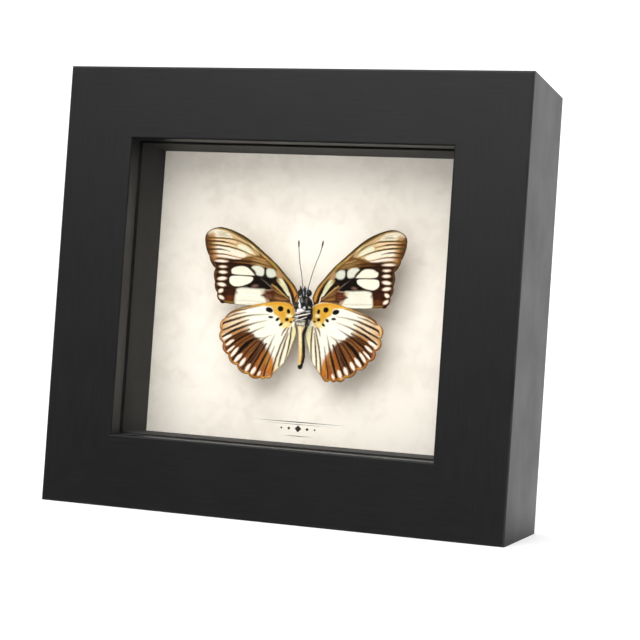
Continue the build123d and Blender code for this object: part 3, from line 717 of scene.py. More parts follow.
def paint_forewing(scales):
    """Brown-black forewing: gold root, cream windows, pale streaks out to the tip."""
    stroke, patch, spot, fan = scales.stroke, scales.patch, scales.spot, scales.fan
    # Leading half: streaked brown between the cell and the tip.
    patch("#6e4820", [(9.6, 11.0), (12.0, 13.6), (16.0, 17.4), (20.0, 18.6), (24.6, 16.6), (25.6, 15.4),
        (22.0, 14.4), (16.0, 13.8), (12.0, 12.4)], soft=0.8, strength=0.95)
    patch("#2e1304", [(17.6, 14.0), (20.5, 15.2), (26.0, 15.8), (33.6, 15.6), (33.6, 13.6), (28.0, 13.8),
        (22.0, 13.6)], soft=0.5, strength=0.95)
    forewing_tip(scales)
    fan(("#9a7040", "#43270a", "#b08a54", "#5c4c1c"), ((11.0, 12.4), (12.6, 15.2)),
        ((23.0, 14.6), (20.6, 17.4)), 28, 0.2, 0.75)
    fan(("#241002", "#724a1e"), ((16.0, 14.0), (16.4, 15.2)), ((29.0, 14.4), (28.0, 15.4)), 10, 0.2, 0.6)
    # Leading edge, from the body to the tip: golden tan between fine dark lines.
    costa = [(2.6, 3.6), (3.6, 5.9), (5.0, 7.9), (7.2, 10.4), (10.0, 13.3), (12.5, 15.6), (15.1, 17.7),
        (18.7, 20.5), (21.3, 22.3), (24.9, 24.2), (28.5, 25.7), (32.4, 26.3)]
    inward = [(u + 0.45, v - 0.4) for u, v in costa]
    stroke("#a8824a", inward, [1.0, 1.2, 1.0, 0.8, 0.8, 0.5], soft=0.3,
        strength=(1.0, 1.0, 1.0, 0.8, 0.4, 0.3))
    stroke("#3e2a0c", [(u + 0.95, v - 0.85) for u, v in costa[1:9]], [0.3, 0.34, 0.26, 0.2], soft=0.16,
        strength=(0.5, 1.0, 0.8, 0.6))
    stroke("#c2843a", [(3.3, 2.4), (3.9, 4.6), (4.8, 6.6), (6.2, 8.6)], [0.8, 1.1, 0.8, 0.4], soft=0.3,
        strength=(1.0, 1.0, 0.6))
    stroke("#7a4a1a", [(3.9, 2.2), (4.4, 4.4), (5.4, 6.6), (6.8, 8.6)], [0.3, 0.34, 0.3, 0.2], soft=0.2,
        strength=0.8)
    stroke("#6a4c1e", [(u + 0.55, v - 0.48) for u, v in costa[2:11]], [0.16, 0.22, 0.18], soft=0.14,
        strength=0.7)
    stroke("#574214", [(u + 0.14, v - 0.14) for u, v in costa], [0.3, 0.34, 0.36, 0.38, 0.42, 0.46, 0.3],
        soft=0.15, strength=(0.6, 0.9, 1.0, 1.0, 1.0, 0.9, 0.4), rise=0.1)
    stroke("#94842c", [(10.6, 13.4), (12.0, 14.7), (13.4, 16.0)], [0.3, 0.55, 0.3],
        strength=(0.3, 0.9, 0.3))
    stroke("#e4d2a0", [(17.6, 18.3), (19.6, 20.1), (22.2, 21.9)], [0.2, 0.42, 0.2],
        strength=(0.5, 1.0, 0.5))
    stroke("#c9a068", [(14.0, 15.9), (15.6, 17.1), (17.6, 18.6)], [0.3, 0.5, 0.3],
        strength=(0.3, 0.9, 0.4))
    stroke("#261002", [(4.3, 1.4), (4.5, 3.2), (5.2, 5.0), (6.3, 7.1), (7.6, 9.1), (9.4, 10.9)],
        [0.8, 0.9, 0.75, 0.5, 0.35, 0.2], strength=(1.0, 1.0, 1.0, 0.9, 0.3), rise=0.06)
    stroke("#e2cdb8", [(4.5, 0.8), (5.1, 2.2), (5.5, 3.6), (6.0, 4.8)], [0.4, 0.5, 0.3])
    stroke("#5a3420", [(5.5, 1.5), (5.8, 2.8), (6.3, 3.4)], [0.3, 0.35, 0.2])
    # Cell: cream streak, black wedge and tan vein.
    patch("#a9845c", [(8.4, 9.6), (9.6, 9.4), (10.9, 10.2), (11.2, 12.0), (10.4, 12.6), (9.2, 11.2)],
        soft=0.5, strength=0.9)
    patch("#d8d0ab", [(5.9, 4.0), (6.4, 4.1), (7.3, 5.1), (8.4, 6.5), (9.6, 7.9), (10.5, 9.1),
        (10.0, 9.7), (8.7, 9.5), (7.4, 7.8), (6.4, 5.9)], soft=0.3)
    spot("#e6dec6", (6.5, 4.9), (2.0, 0.7), 58, soft=0.3, strength=0.9)
    fan(("#b5ae72", "#efe9c8", "#a89a5a"), ((6.0, 4.6), (6.6, 4.4)), ((8.6, 9.6), (10.4, 8.8)), 9, 0.2,
        0.5)
    stroke("#8c7230", [(9.0, 8.2), (10.2, 9.2), (11.2, 10.0)], [0.3, 0.7, 0.6], soft=0.3,
        strength=(0.3, 0.9, 0.8))
    patch("#5c3816", [(5.8, 2.4), (7.2, 3.4), (11.8, 7.2), (12.6, 5.8), (12.2, 2.6), (8.0, 2.0)],
        soft=0.4)
    fan(("#9c6f40", "#3a1c08", "#86592e", "#2c1404"), ((6.2, 2.4), (6.4, 3.3)),
        ((12.6, 2.6), (12.8, 6.6)), 24, 0.22, 0.75)
    patch("#150800", [(6.7, 3.5), (7.4, 3.8), (8.8, 5.2), (10.2, 6.5), (11.7, 7.4), (11.2, 8.4),
        (9.2, 7.2), (7.7, 5.4)], soft=0.2)
    stroke("#b48e54", [(6.1, 2.9), (8.2, 4.6), (10.0, 6.0), (11.2, 6.9), (12.3, 7.5)],
        [0.3, 0.42, 0.5, 0.4], soft=0.2, strength=(0.7, 1.0, 1.0, 0.8), rise=0.08)
    # Dark field between the windows, with its fine veins.
    patch("#0e0501", [(10.6, 10.0), (11.4, 8.8), (12.6, 7.9), (12.8, 6.4), (13.8, 5.9), (20.4, 5.9),
        (20.6, 7.4), (18.8, 8.6), (18.8, 10.4), (14.9, 13.2)], soft=0.25)
    patch("#471c06", [(11.2, 2.6), (11.6, 5.2), (15.6, 5.4), (15.4, 2.6)], soft=0.6)
    fan(("#7a3a18", "#240c02", "#8c6a50"), ((10.6, 2.4), (11.0, 5.2)), ((15.4, 2.6), (15.6, 5.4)), 14,
        0.22, 0.4)
    stroke("#a08c78", [(11.9, 5.9), (13.2, 5.55), (15.2, 5.6)], [0.2, 0.3, 0.3],
        strength=(0.6, 1.0, 1.0))
    stroke("#6e6058", [(12.4, 6.7), (13.6, 7.5), (14.8, 8.4), (16.6, 9.6)], [0.3, 0.34, 0.3, 0.15],
        strength=(1.0, 1.0, 0.8, 0.2), rise=0.05)
    spot("#7c5a4c", (18.2, 6.7), (2.0, 1.0), -10, soft=0.4, strength=0.8)
    # Trailing edge near the root.
    patch("#b99274", [(12.4, 0.4), (12.8, 2.0), (14.4, 2.6), (15.4, 1.6), (15.2, 0.2)], soft=0.45,
        strength=0.9)
    patch("#8f6c42", [(4.6, 0.7), (5.2, 1.7), (12.0, 1.8), (12.4, 0.3)], soft=0.35, strength=0.85)
    # White windows.
    patch("#e8e3d0", [(14.9, 5.7), (15.2, 4.3), (16.0, 3.5), (14.9, 3.0), (14.2, 1.8), (14.0, 0.0),
        (20.0, -0.4), (24.8, -0.2), (25.0, 3.0), (24.2, 3.9), (24.8, 5.0), (22.6, 5.75), (18.0, 5.7)],
        soft=0.5)
    spot("#c2aa8a", (15.4, 4.9), (1.8, 1.3), 10, soft=0.6, strength=0.7)
    stroke("#c9ae8c", [(25.0, 0.4), (24.9, 2.8), (24.6, 4.8)], [0.4, 0.5, 0.4], soft=0.4, strength=0.7)
    fan(("#d9cdb8", "#faf6ea", "#c7b9a4"), ((14.6, 0.2), (15.2, 5.4)), ((24.6, 0.2), (24.4, 5.2)), 16,
        0.24, 0.5)
    stroke("#b8ab9a", [(14.6, 1.3), (20.0, 1.3), (25.0, 1.2)], [0.26, 0.3], soft=0.2, strength=0.6)
    patch("#cfcfbe", [(11.0, 10.7), (11.5, 12.3), (12.9, 13.0), (14.2, 12.9), (14.6, 12.0), (14.4, 10.8),
        (13.6, 10.0), (12.2, 10.0)], soft=0.36)
    patch("#d4d1c0", [(15.3, 11.2), (15.5, 12.7), (16.8, 13.6), (18.4, 13.8), (19.9, 13.2), (18.9, 12.1),
        (18.2, 11.0), (17.6, 10.5), (16.0, 10.3)], soft=0.34)
    patch("#e9e2cc", [(18.6, 10.4), (19.5, 11.4), (21.3, 12.9), (23.3, 13.3), (25.2, 13.0), (26.8, 12.1),
        (26.9, 11.2), (26.2, 10.5), (23.0, 10.25)], soft=0.26)
    patch("#ebe4d0", [(19.1, 9.5), (20.2, 9.85), (24.0, 9.9), (26.7, 9.6), (27.4, 8.6), (27.2, 7.3),
        (26.1, 6.4), (24.8, 6.15), (22.4, 6.6), (20.3, 7.6), (19.2, 8.6)], soft=0.2)
    stroke("#4c3c26", [(18.2, 11.2), (19.2, 12.2), (20.2, 13.1)], [0.3, 0.22], strength=(1.0, 0.6))
    stroke("#1c1004", [(14.9, 13.6), (14.95, 12.0), (15.0, 10.4)], [0.5, 0.55, 0.8],
        strength=(0.4, 0.9, 1.0))
    stroke("#221206", [(18.4, 10.05), (22.0, 10.05), (27.4, 10.0)], [0.35, 0.24, 0.3], soft=0.12,
        rise=0.06)
    # Dark trailing corner, and the row of spots inside the outer edge.
    patch("#331403", [(25.3, 0.4), (25.3, 3.2), (24.8, 5.0), (26.6, 6.0), (31.0, 6.2), (31.2, 2.6),
        (29.6, 0.8)], soft=0.4, strength=0.9)
    spot("#64300e", (26.9, 2.0), (2.8, 2.2), 0, soft=0.8, strength=0.7)
    stroke("#80602c", [(25.3, 0.35), (27.0, 0.5), (28.8, 0.7)], [0.7, 0.6, 0.3], soft=0.3)
    stroke("#5c3c1c", [(34.6, 15.4), (33.2, 13.4), (32.7, 11.4), (32.7, 7.4), (31.8, 3.9), (30.8, 1.4)],
        [0.9, 0.7, 0.7, 0.6, 0.5], soft=0.4, strength=0.9)
    for centre, size, tilt in (
        ((30.8, 14.7), (4.0, 0.75), 0), ((30.1, 12.75), (2.5, 0.7), 0),
        ((30.0, 10.85), (2.7, 0.95), 0), ((30.1, 8.6), (3.1, 1.1), -8),
        ((30.1, 6.5), (2.9, 1.1), 8), ((30.3, 4.3), (1.9, 1.2), -35),
        ((29.9, 2.0), (2.1, 1.0), 30),
    ):
        spot("#e0b796", centre, (size[0] + 0.1, size[1] + 0.2), tilt, soft=0.28)
        spot("#f2e5d8", centre, (size[0] - 0.5, size[1] - 0.2), tilt, soft=0.22)
    # Veins that fan to the outer edge, as fine raised lines.
    for points in (
        [(20.4, 13.9), (27.0, 14.0), (33.6, 13.9)], [(27.4, 11.8), (32.8, 11.8)],
        [(27.4, 9.8), (32.6, 9.7)], [(27.5, 7.5), (32.4, 7.5)], [(26.4, 5.4), (32.0, 5.2)],
        [(25.4, 3.2), (31.2, 3.1)],
    ):
        stroke("#120600", points, [0.3, 0.34], soft=0.2, strength=0.8, rise=0.06)


def hindwing_fills(scales):
    """Warm tones between the hindwing's rays: pale inwards, rust and brown outwards."""
    stroke, patch, fan = scales.stroke, scales.patch, scales.fan
    patch("#dcb482", [(20.4, -5.6), (23.0, -3.6), (27.6, -4.4), (30.0, -8.0), (29.6, -12.6),
        (24.0, -10.6), (20.0, -8.4)], soft=1.2, strength=0.55)
    patch("#4a1e04", [(16.6, -11.0), (18.4, -9.7), (21.6, -9.7), (25.0, -11.0), (27.6, -13.2),
        (27.4, -17.6), (24.6, -21.0), (21.4, -22.8), (18.4, -24.2), (16.2, -23.0), (14.4, -19.8),
        (12.7, -15.2), (13.8, -12.6)], soft=0.6, strength=0.97)
    patch("#a65c1c", [(12.3, -14.8), (13.8, -16.6), (15.8, -20.6), (17.8, -24.6), (14.0, -25.4),
        (10.8, -24.8), (9.5, -22.4), (10.2, -18.6), (11.2, -16.2)], soft=0.6, strength=0.92)
    for tone, points, widths, cover in (
        # From the leading edge back.
        ("#d69a58", [(26.0, -4.9), (27.6, -6.0), (28.8, -7.0)], [0.5, 0.8, 0.8], (0.3, 0.9)),
        ("#d0985a", [(24.8, -6.4), (26.8, -7.4), (28.6, -8.4)], [0.3, 0.8, 0.9], (0.2, 1.0)),
        ("#eccfa4", [(20.8, -6.6), (23.4, -7.8), (25.6, -8.8)], [0.4, 0.7, 0.7], (0.3, 0.9)),
        ("#c48a4c", [(25.6, -9.0), (27.2, -9.7), (28.8, -10.4)], [0.6, 0.9, 0.9], (0.5, 1.0)),
        ("#b87c42", [(19.4, -8.1), (22.0, -9.3), (24.6, -10.4), (27.0, -11.4)], [0.5, 1.0, 0.9, 0.5],
            (0.5, 1.0, 1.0, 0.6)),
        ("#3a1806", [(19.4, -9.8), (21.8, -10.9), (24.2, -12.3)], [0.8, 1.3, 1.0], 1.0),
        ("#8a4c16", [(18.2, -10.8), (20.6, -12.0), (23.0, -13.8)], [0.3, 0.7, 0.6], (0.7, 1.0)),
        ("#7a481e", [(18.4, -11.9), (20.6, -13.3), (22.6, -15.2)], [0.3, 0.7, 0.6], (0.7, 1.0)),
        ("#84481a", [(16.8, -13.0), (18.8, -14.9), (20.8, -17.2)], [0.3, 0.9, 0.7], (0.7, 1.0)),
        ("#92521c", [(15.6, -13.6), (17.4, -15.8), (19.4, -18.6)], [0.3, 0.9, 0.9], (0.7, 1.0)),
        ("#2a1002", [(15.2, -14.2), (16.8, -17.2), (18.4, -20.0)], [0.7, 1.6, 1.1], 1.0),
        ("#9a5218", [(13.6, -15.4), (14.9, -18.4), (16.4, -21.4)], [0.6, 1.3, 1.0], 1.0),
        ("#a97834", [(11.8, -16.0), (12.6, -18.4), (13.4, -21.0)], [0.5, 1.3, 1.2], (0.6, 1.0)),
        ("#8c431a", [(12.6, -20.0), (13.4, -22.2), (13.9, -23.6)], [0.8, 1.2, 0.9], (0.7, 1.0)),
        ("#c47c26", [(9.9, -17.4), (10.6, -19.8), (11.2, -22.4)], [0.5, 1.4, 1.5], (0.3, 1.0, 1.0)),
        ("#b35a16", [(10.7, -21.2), (11.4, -22.9)], [0.7, 0.9], (0.6, 0.9)),
        ("#eec383", [(8.3, -17.4), (8.8, -20.0), (9.4, -22.8)], [0.5, 1.0, 0.9], (0.3, 1.0)),
    ):
        stroke(tone, points, widths, soft=0.35, strength=cover)
    fan(("#b07c46", "#47200a", "#96623a", "#2c1204"), ((17.6, -10.4), (14.4, -13.4)),
        ((24.6, -13.8), (18.6, -19.8)), 36, 0.2, 0.6)
    fan(("#c88e48", "#5e2c0c", "#a0642c"), ((13.4, -15.2), (10.2, -17.2)),
        ((16.6, -22.4), (11.0, -23.6)), 22, 0.22, 0.5)


def hindwing_border(scales):
    """Tan and brown band round the scallops, in short lengths of differing tone."""
    u, v = scales.at.T
    outer = smooth(8.8, 11.0, u) * smooth(4.0, 6.5, -v)
    scales.rim("#a4661e", 0.8, 0.3, strength=outer)
    for tone, points, wide in (
        ("#d9ab72", [(28.8, -5.2), (29.4, -7.4), (29.6, -8.8)], 1.0),
        ("#bd8a4e", [(29.2, -9.4), (29.3, -10.8), (29.0, -12.6)], 1.0),
        ("#a86038", [(28.0, -14.0), (27.7, -15.6), (27.2, -16.8)], 0.9),
        ("#b98448", [(26.3, -18.0), (25.8, -19.4), (25.0, -20.4)], 0.9),
        ("#c39152", [(24.4, -20.7), (23.0, -20.9), (22.4, -21.8)], 0.9),
        ("#8a6430", [(21.9, -22.3), (21.0, -23.4), (19.8, -23.8)], 0.9),
        ("#cf9c44", [(20.0, -23.9), (18.9, -23.8), (18.2, -24.3)], 0.7),
        ("#a9682a", [(17.6, -24.9), (16.0, -25.4), (14.6, -25.0)], 0.8),
        ("#dcae5c", [(13.6, -24.9), (12.0, -25.0), (10.6, -24.4)], 0.8),
    ):
        scales.stroke(tone, points, [0.5 * wide, wide, 0.5 * wide], soft=0.3, strength=0.85)
    scales.rim("#5e3810", 0.26, 0.16, strength=0.75 * outer)


def hindwing_rays(scales):
    """Veins that run to the scallops and folds that run to the notches between them."""
    rays = (
        ("#6e4812", [(15.6, -0.1), (18.7, -0.9), (21.6, -1.7), (24.4, -2.6), (26.6, -3.6), (27.9, -4.9)],
            [0.24, 0.42, 0.52, 0.46], (0.5, 1.0, 1.0)),
        ("#6a4418", [(20.6, -2.7), (23.2, -3.3), (25.2, -4.0), (27.2, -4.9)], [0.3, 0.48, 0.36],
            (0.4, 1.0, 0.8)),
        ("#2a1604", [(12.6, -2.9), (16.6, -3.3), (20.0, -3.9), (22.5, -4.7), (25.0, -5.6), (27.2, -6.4),
            (28.6, -7.2), (29.6, -8.6)], [0.18, 0.38, 0.6, 0.75, 0.7, 0.5], (0.3, 0.8, 1.0, 1.0)),
        ("#2c1a08", [(19.4, -5.2), (22.0, -6.3), (24.0, -7.3), (26.2, -8.35), (28.8, -9.5)],
            [0.3, 0.66, 0.66, 0.6], (0.7, 1.0, 1.0, 0.9)),
        ("#1c0e03", [(13.0, -5.0), (17.0, -6.2), (20.0, -7.3), (22.2, -8.25), (24.2, -9.15),
            (26.2, -10.3), (28.4, -11.7)], [0.18, 0.42, 0.8, 0.95, 0.8, 0.6], (0.25, 0.85, 1.0, 1.0)),
        ("#301605", [(19.0, -8.6), (21.0, -9.5), (22.7, -10.35), (24.2, -11.2), (25.8, -12.3),
            (27.8, -13.9)], [0.5, 0.75, 0.7, 0.55], (0.9, 1.0)),
        ("#200c03", [(13.6, -7.2), (16.0, -8.4), (18.0, -9.5), (20.0, -10.65), (22.2, -12.0),
            (24.0, -13.35), (25.6, -15.0), (27.2, -17.1)], [0.18, 0.42, 0.75, 0.95, 0.65, 0.5],
            (0.25, 0.9, 1.0, 1.0)),
        ("#3e1c06", [(17.4, -10.4), (19.2, -11.4), (21.0, -12.75), (22.8, -14.3), (24.2, -15.9),
            (25.7, -17.6)], [0.3, 0.45, 0.45, 0.42], 1.0),
        ("#180800", [(13.6, -11.1), (15.8, -11.45), (17.4, -12.0), (18.9, -13.1), (20.4, -14.5),
            (21.8, -16.1), (23.2, -17.9), (24.8, -20.2)], [0.2, 0.6, 1.1, 1.5, 1.4, 0.8, 0.55],
            (0.3, 1.0, 1.0, 1.0)),
        ("#3a1604", [(15.9, -12.4), (17.3, -13.9), (18.6, -15.4), (19.9, -17.1), (21.2, -18.9),
            (22.5, -20.9)], [0.45, 0.6, 0.55, 0.42], 1.0),
        ("#200c02", [(11.0, -10.0), (13.2, -11.1), (14.6, -12.9), (16.2, -15.5), (17.6, -17.6),
            (19.0, -19.8), (20.5, -22.4)], [0.16, 0.34, 0.6, 1.0, 1.0, 0.7, 0.5],
            (0.25, 0.85, 1.0, 1.0)),
        ("#2c1204", [(12.7, -13.1), (13.8, -15.1), (15.2, -17.8), (16.8, -20.8), (18.3, -23.6)],
            [0.45, 0.65, 0.65, 0.5], 1.0),
        ("#221004", [(9.9, -9.6), (11.0, -12.5), (12.2, -15.7), (13.4, -18.5), (14.8, -21.8),
            (16.3, -25.0)], [0.16, 0.36, 0.7, 0.95, 0.8, 0.6], (0.25, 0.85, 1.0, 1.0)),
        ("#3a1a06", [(9.7, -13.7), (10.7, -16.8), (11.6, -19.4), (12.4, -22.0), (12.9, -24.4)],
            [0.2, 0.36, 0.55, 0.5], (0.5, 0.9, 1.0)),
        ("#33200a", [(5.2, -7.2), (6.5, -10.4), (7.6, -13.2), (8.6, -16.5), (9.4, -19.6), (10.2, -23.6)],
            [0.26, 0.4, 0.42, 0.5], (0.8, 0.9, 1.0, 1.0)),
        ("#443a20", [(5.9, -7.0), (6.8, -8.2), (7.6, -10.0)], [0.42, 0.36, 0.14], (1.0, 0.8)),
        ("#332a12", [(5.3, -9.0), (6.1, -12.0), (6.8, -15.0), (7.5, -18.0), (7.9, -20.6)],
            [0.2, 0.4, 0.46, 0.4], (0.7, 1.0, 1.0, 0.8)),
        ("#2a2208", [(4.3, -6.8), (4.4, -10.0), (4.7, -13.0), (5.3, -16.4), (5.9, -18.8)],
            [0.4, 0.46, 0.36, 0.2], (0.8, 1.0, 1.0, 0.6)),
    )
    # Each ray lies in a wider, softer brown shade.
    for _, points, widths, cover in rays:
        scales.stroke("#8a561e", points, [wide + 0.4 for wide in widths], soft=0.26,
            strength=np.atleast_1d(cover) * 0.6)
    # White marks between the rays, inside the border.
    for start, end, wide in (
        ((25.3, -10.9), (28.0, -12.3), 1.0), ((24.4, -12.6), (26.8, -14.4), 0.85),
        ((24.0, -14.7), (26.5, -16.9), 0.7), ((22.6, -15.2), (24.9, -18.2), 1.0),
        ((21.1, -17.2), (23.4, -19.9), 1.1), ((19.8, -18.7), (21.4, -21.2), 1.1),
        ((17.9, -20.6), (19.3, -22.9), 1.05), ((16.0, -21.6), (17.2, -23.8), 1.15),
        ((14.1, -22.9), (14.8, -24.2), 0.7),
    ):
        stretch = np.linspace(0, 1, 4)[:, None]
        line = np.array(start) + (np.array(end) - np.array(start)) * stretch
        scales.stroke("#d09a68", line, [0.4, wide + 0.2, wide + 0.3, 0.8], soft=0.3)
        scales.stroke("#f4e9de", line, [0.2, wide - 0.15, wide - 0.05, 0.5], soft=0.28)
    for tone, points, widths, cover in rays:
        scales.stroke(tone, points, widths, soft=0.17, strength=cover, rise=0.06)


def paint_hindwing(scales):
    """White hindwing: gold root with black spots, dark rays out to a brown border."""
    stroke, patch, spot, fan = scales.stroke, scales.patch, scales.spot, scales.fan
    fan(("#dcd8c4", "#ffffff", "#e8e0c6"), ((8.4, -6.0), (13.0, -1.0)), ((20.0, -13.0), (26.0, -3.0)),
        34, 0.2, 0.4)
    hindwing_fills(scales)
    # Trailing edge by the body: cream, faintly yellow at the very edge.
    patch("#f0e9d0", [(3.0, -7.4), (2.4, -9.5), (3.3, -12.4), (4.6, -16.0), (6.4, -19.4), (8.4, -22.0),
        (8.6, -18.0), (7.0, -12.0), (5.2, -7.6)], soft=0.5)
    stroke("#e6dba4", [(3.2, -7.2), (3.0, -9.8), (3.6, -12.6), (4.6, -15.6), (6.0, -18.6)],
        [1.7, 1.9, 1.1, 0.6, 0.3], soft=0.4, strength=(0.9, 0.9, 0.6))
    stroke("#f0dca6", [(7.2, -20.0), (8.6, -22.2), (9.8, -23.6)], [0.5, 0.8, 0.8], soft=0.3)
    # Leading edge: golden by the root, then tan between two brown lines, pink-tan last.
    stroke("#d6a443", [(13.0, 0.9), (16.0, 0.15), (18.6, -0.45), (20.6, -1.0)], [0.9, 0.8, 0.7, 0.4],
        soft=0.25)
    stroke("#dcb67c", [(19.6, -0.8), (22.4, -1.7), (25.0, -2.6), (27.0, -3.7)], [0.5, 0.6, 0.6, 0.6],
        soft=0.25, strength=(0.7, 1.0, 1.0))
    stroke("#e6b98e", [(26.4, -3.4), (27.6, -4.4), (28.4, -5.4)], [0.6, 1.1, 0.9], soft=0.3)
    stroke("#704a16", [(18.8, -0.35), (21.0, -0.85), (23.6, -1.75), (26.0, -2.85), (27.4, -3.9)],
        [0.24, 0.34, 0.36, 0.3], soft=0.15, rise=0.06)
    hindwing_rays(scales)
    hindwing_border(scales)
    # Gold root, deeper along the leading edge, with its black spots.
    patch("#d9a640", [(3.1, 0.3), (6.6, 1.6), (11.0, 1.7), (15.0, 0.9), (17.0, 0.1), (14.0, -0.1),
        (11.9, -0.3), (11.1, -1.2), (10.8, -2.6), (9.4, -3.4), (8.4, -4.8), (8.0, -6.4), (6.6, -7.2),
        (5.0, -6.6), (3.7, -4.5), (3.0, -2.0)], soft=0.4)
    stroke("#d4942a", [(5.0, 0.7), (8.0, 1.2), (11.5, 1.0), (14.5, 0.4)], [0.9, 1.1, 1.0, 0.5],
        soft=0.45, strength=(0.8, 0.9, 0.9, 0.5))
    spot("#cf9229", (7.6, -2.7), (2.6, 1.8), 20, soft=0.6, strength=0.8)
    spot("#f1e4b4", (5.4, -2.9), (1.9, 1.1), 0, soft=0.4)
    spot("#f0dfa0", (6.6, -6.2), (3.6, 1.8), -20, soft=0.6, strength=0.8)
    spot("#b98638", (4.0, -0.6), (1.0, 2.2), 0, soft=0.4, strength=0.7)
    for centre, size, tilt in (
        ((5.7, -1.4), (1.25, 1.75), 0), ((8.55, -0.7), (2.15, 1.9), 20),
        ((12.45, -1.35), (2.75, 1.85), 16), ((11.8, -3.8), (1.85, 0.95), 0),
        ((9.4, -4.45), (1.6, 1.1), -38), ((6.05, -4.3), (1.45, 1.25), 0),
        ((8.1, -6.1), (1.65, 0.9), -38), ((4.65, -5.05), (1.05, 0.7), 0),
    ):
        spot("#0a0502", centre, size, tilt, soft=0.2)


def onto_left_pattern(flat):
    """Where a point of the right hindwing lies on the left one, which is set closer."""
    reach = np.hypot(flat[:, 0], flat[:, 1])
    root = np.exp(-(reach / 12) ** 2)[:, None]
    flat = flat + root * np.array([-0.2, 0.4])
    angle = np.degrees(np.arctan2(flat[:, 1], flat[:, 0]))
    reach = np.hypot(flat[:, 0], flat[:, 1])
    # The right wing's directions from the body, the left's, and how far they reach.
    right = [-84.0, -70.0, -62.0, -57.5, -46.0, -36.0, -12.0, 40.0]
    left = [-80.5, -66.5, -59.5, -56.0, -46.3, -37.0, -12.4, 40.0]
    stretch = [0.98, 0.985, 1.02, 1.03, 1.025, 1.01, 0.99, 1.0]
    turned = np.radians(np.interp(angle, right, left))
    reach = reach * np.interp(angle, right, stretch)
    return np.column_stack([reach * np.cos(turned), reach * np.sin(turned)])


# ---- Wings -------------------------------------------------------------------------
class WingPlace:
    """Where a wing is set: its own flat plan, turned, moved and lifted to the case."""

    def __init__(self, side, lift, swing=0.0, shift=(0.0, 0.0), layer=0.0):
        self.side = side
        self.swing = side * swing
        self.lift = -side * lift
        self.shift = (side * shift[0], -layer, shift[1])
        datum_drop = 1.2             # the thorax's middle lies this far below the datum
        body_lead = 1.5              # and its axis this far in front of the wing roots
        thorax = middle_of("thorax") / MM
        self.root = np.array([thorax.x, thorax.y + body_lead, thorax.z + datum_drop])

    def turned(self, plan):
        """Plan points after the swing and the shift, across and up."""
        x, z = plan[:, 0] * self.side, plan[:, 1]
        c, s = math.cos(self.swing), math.sin(self.swing)
        return x * c - z * s + self.shift[0], x * s + z * c + self.shift[2]

    def set_out(self, plan, height):
        """Points of the case, in metres, for plan points at a height over the wing's back."""
        x, z = self.turned(plan)
        y = self.shift[1] - height
        c, s = math.cos(self.lift), math.sin(self.lift)
        placed = np.column_stack([x * c - y * s, x * s + y * c, z]) + self.root
        return placed * MM

    def plan_of(self, points):
        """Plan points and heights, in millimetres, of points of the case in metres."""
        x, y, z = (np.asarray(points) / MM - self.root).T
        c, s = math.cos(-self.lift), math.sin(-self.lift)
        x, y = x * c - y * s, x * s + y * c
        height = self.shift[1] - y
        x, z = x - self.shift[0], z - self.shift[2]
        c, s = math.cos(-self.swing), math.sin(-self.swing)
        return np.column_stack([(x * c - z * s) * self.side, x * s + z * c]), height


def wing_outline(node, place):
    """The edge of a wing's front face on its plan, as a closed ring of points."""
    shape = bmesh.new()
    shape.from_mesh(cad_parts[node].data)
    bmesh.ops.remove_doubles(shape, verts=shape.verts, dist=0.002 * MM)
    plan, height = place.plan_of([vert.co for vert in shape.verts])
    front = height > (height.min() + height.max()) / 2
    shape.verts.index_update()
    faces = {face for face in shape.faces if all(front[vert.index] for vert in face.verts)}
    after = {}
    for face in faces:
        for loop in face.loops:
            if not any(other in faces and other is not face
                       for other in loop.edge.link_faces):
                after[loop.vert.index] = loop.link_loop_next.vert.index
    start = min(after)               # the same point on every run
    ring = [start]
    while after[ring[-1]] != start:
        ring.append(after[ring[-1]])
    if len(ring) != len(after):
        raise RuntimeError(f"{node}: its front face has more than one edge ring")
    shape.free()
    return plan[ring]


def evenly(ring, pitch, seed):
    """A ring drawn again in even steps, a little ragged as worn wing edges are."""
    closed = np.vstack([ring, ring[:1]])
    along = np.concatenate([[0], np.cumsum(np.hypot(*np.diff(closed, axis=0).T))])
    count = int(along[-1] / pitch)
    at = np.linspace(0, along[-1], count, endpoint=False)
    even = np.column_stack([np.interp(at, along, closed[:, k]) for k in (0, 1)])
    ragged = 0.03
    even += np.column_stack([ripple(even, 0.9, ragged, seed + k) for k in (3, 4)])
    return even


def wing_points(ring, pitch):
    """The ring's points and then a triangular grid inside it, clear of the ring."""
    low, high = ring.min(0), ring.max(0)
    rows = []
    row_step = pitch * math.sqrt(3) / 2
    for index, v in enumerate(np.arange(low[1], high[1], row_step)):
        u = np.arange(low[0] + (index % 2) * pitch / 2, high[0], pitch)
        rows.append(np.column_stack([u, np.full(len(u), v)]))
    grid = np.vstack(rows)
    grid = grid[inside_ring(grid, ring)]
    clear = np.ones(len(grid), bool)
    for point in ring:
        clear &= np.hypot(*(grid - point).T) > 0.6 * pitch
    return np.vstack([ring, grid[clear]])


def wing_triangles(points, ring_count):
    """Triangles over a wing's plan, wound to face up from it."""
    edges = [(k, (k + 1) % ring_count) for k in range(ring_count)]
    corners, _, faces, *_ = delaunay_2d_cdt([Vector(p) for p in points], edges, [], 1, 1e-6, False)
    if len(corners) != len(points):
        raise RuntimeError("the wing's grid has points that coincide")
    a, b, c = (points[[face[k] for face in faces]] for k in range(3))
    kept = inside_ring((a + b + c) / 3, points[:ring_count])
    (ux, uy), (vx, vy) = (b - a).T, (c - a).T
    flipped = ux * vy - uy * vx < 0
    return [tuple(face[::-1]) if flip else tuple(face) for face, keep,
        flip in zip(faces, kept, flipped) if keep]


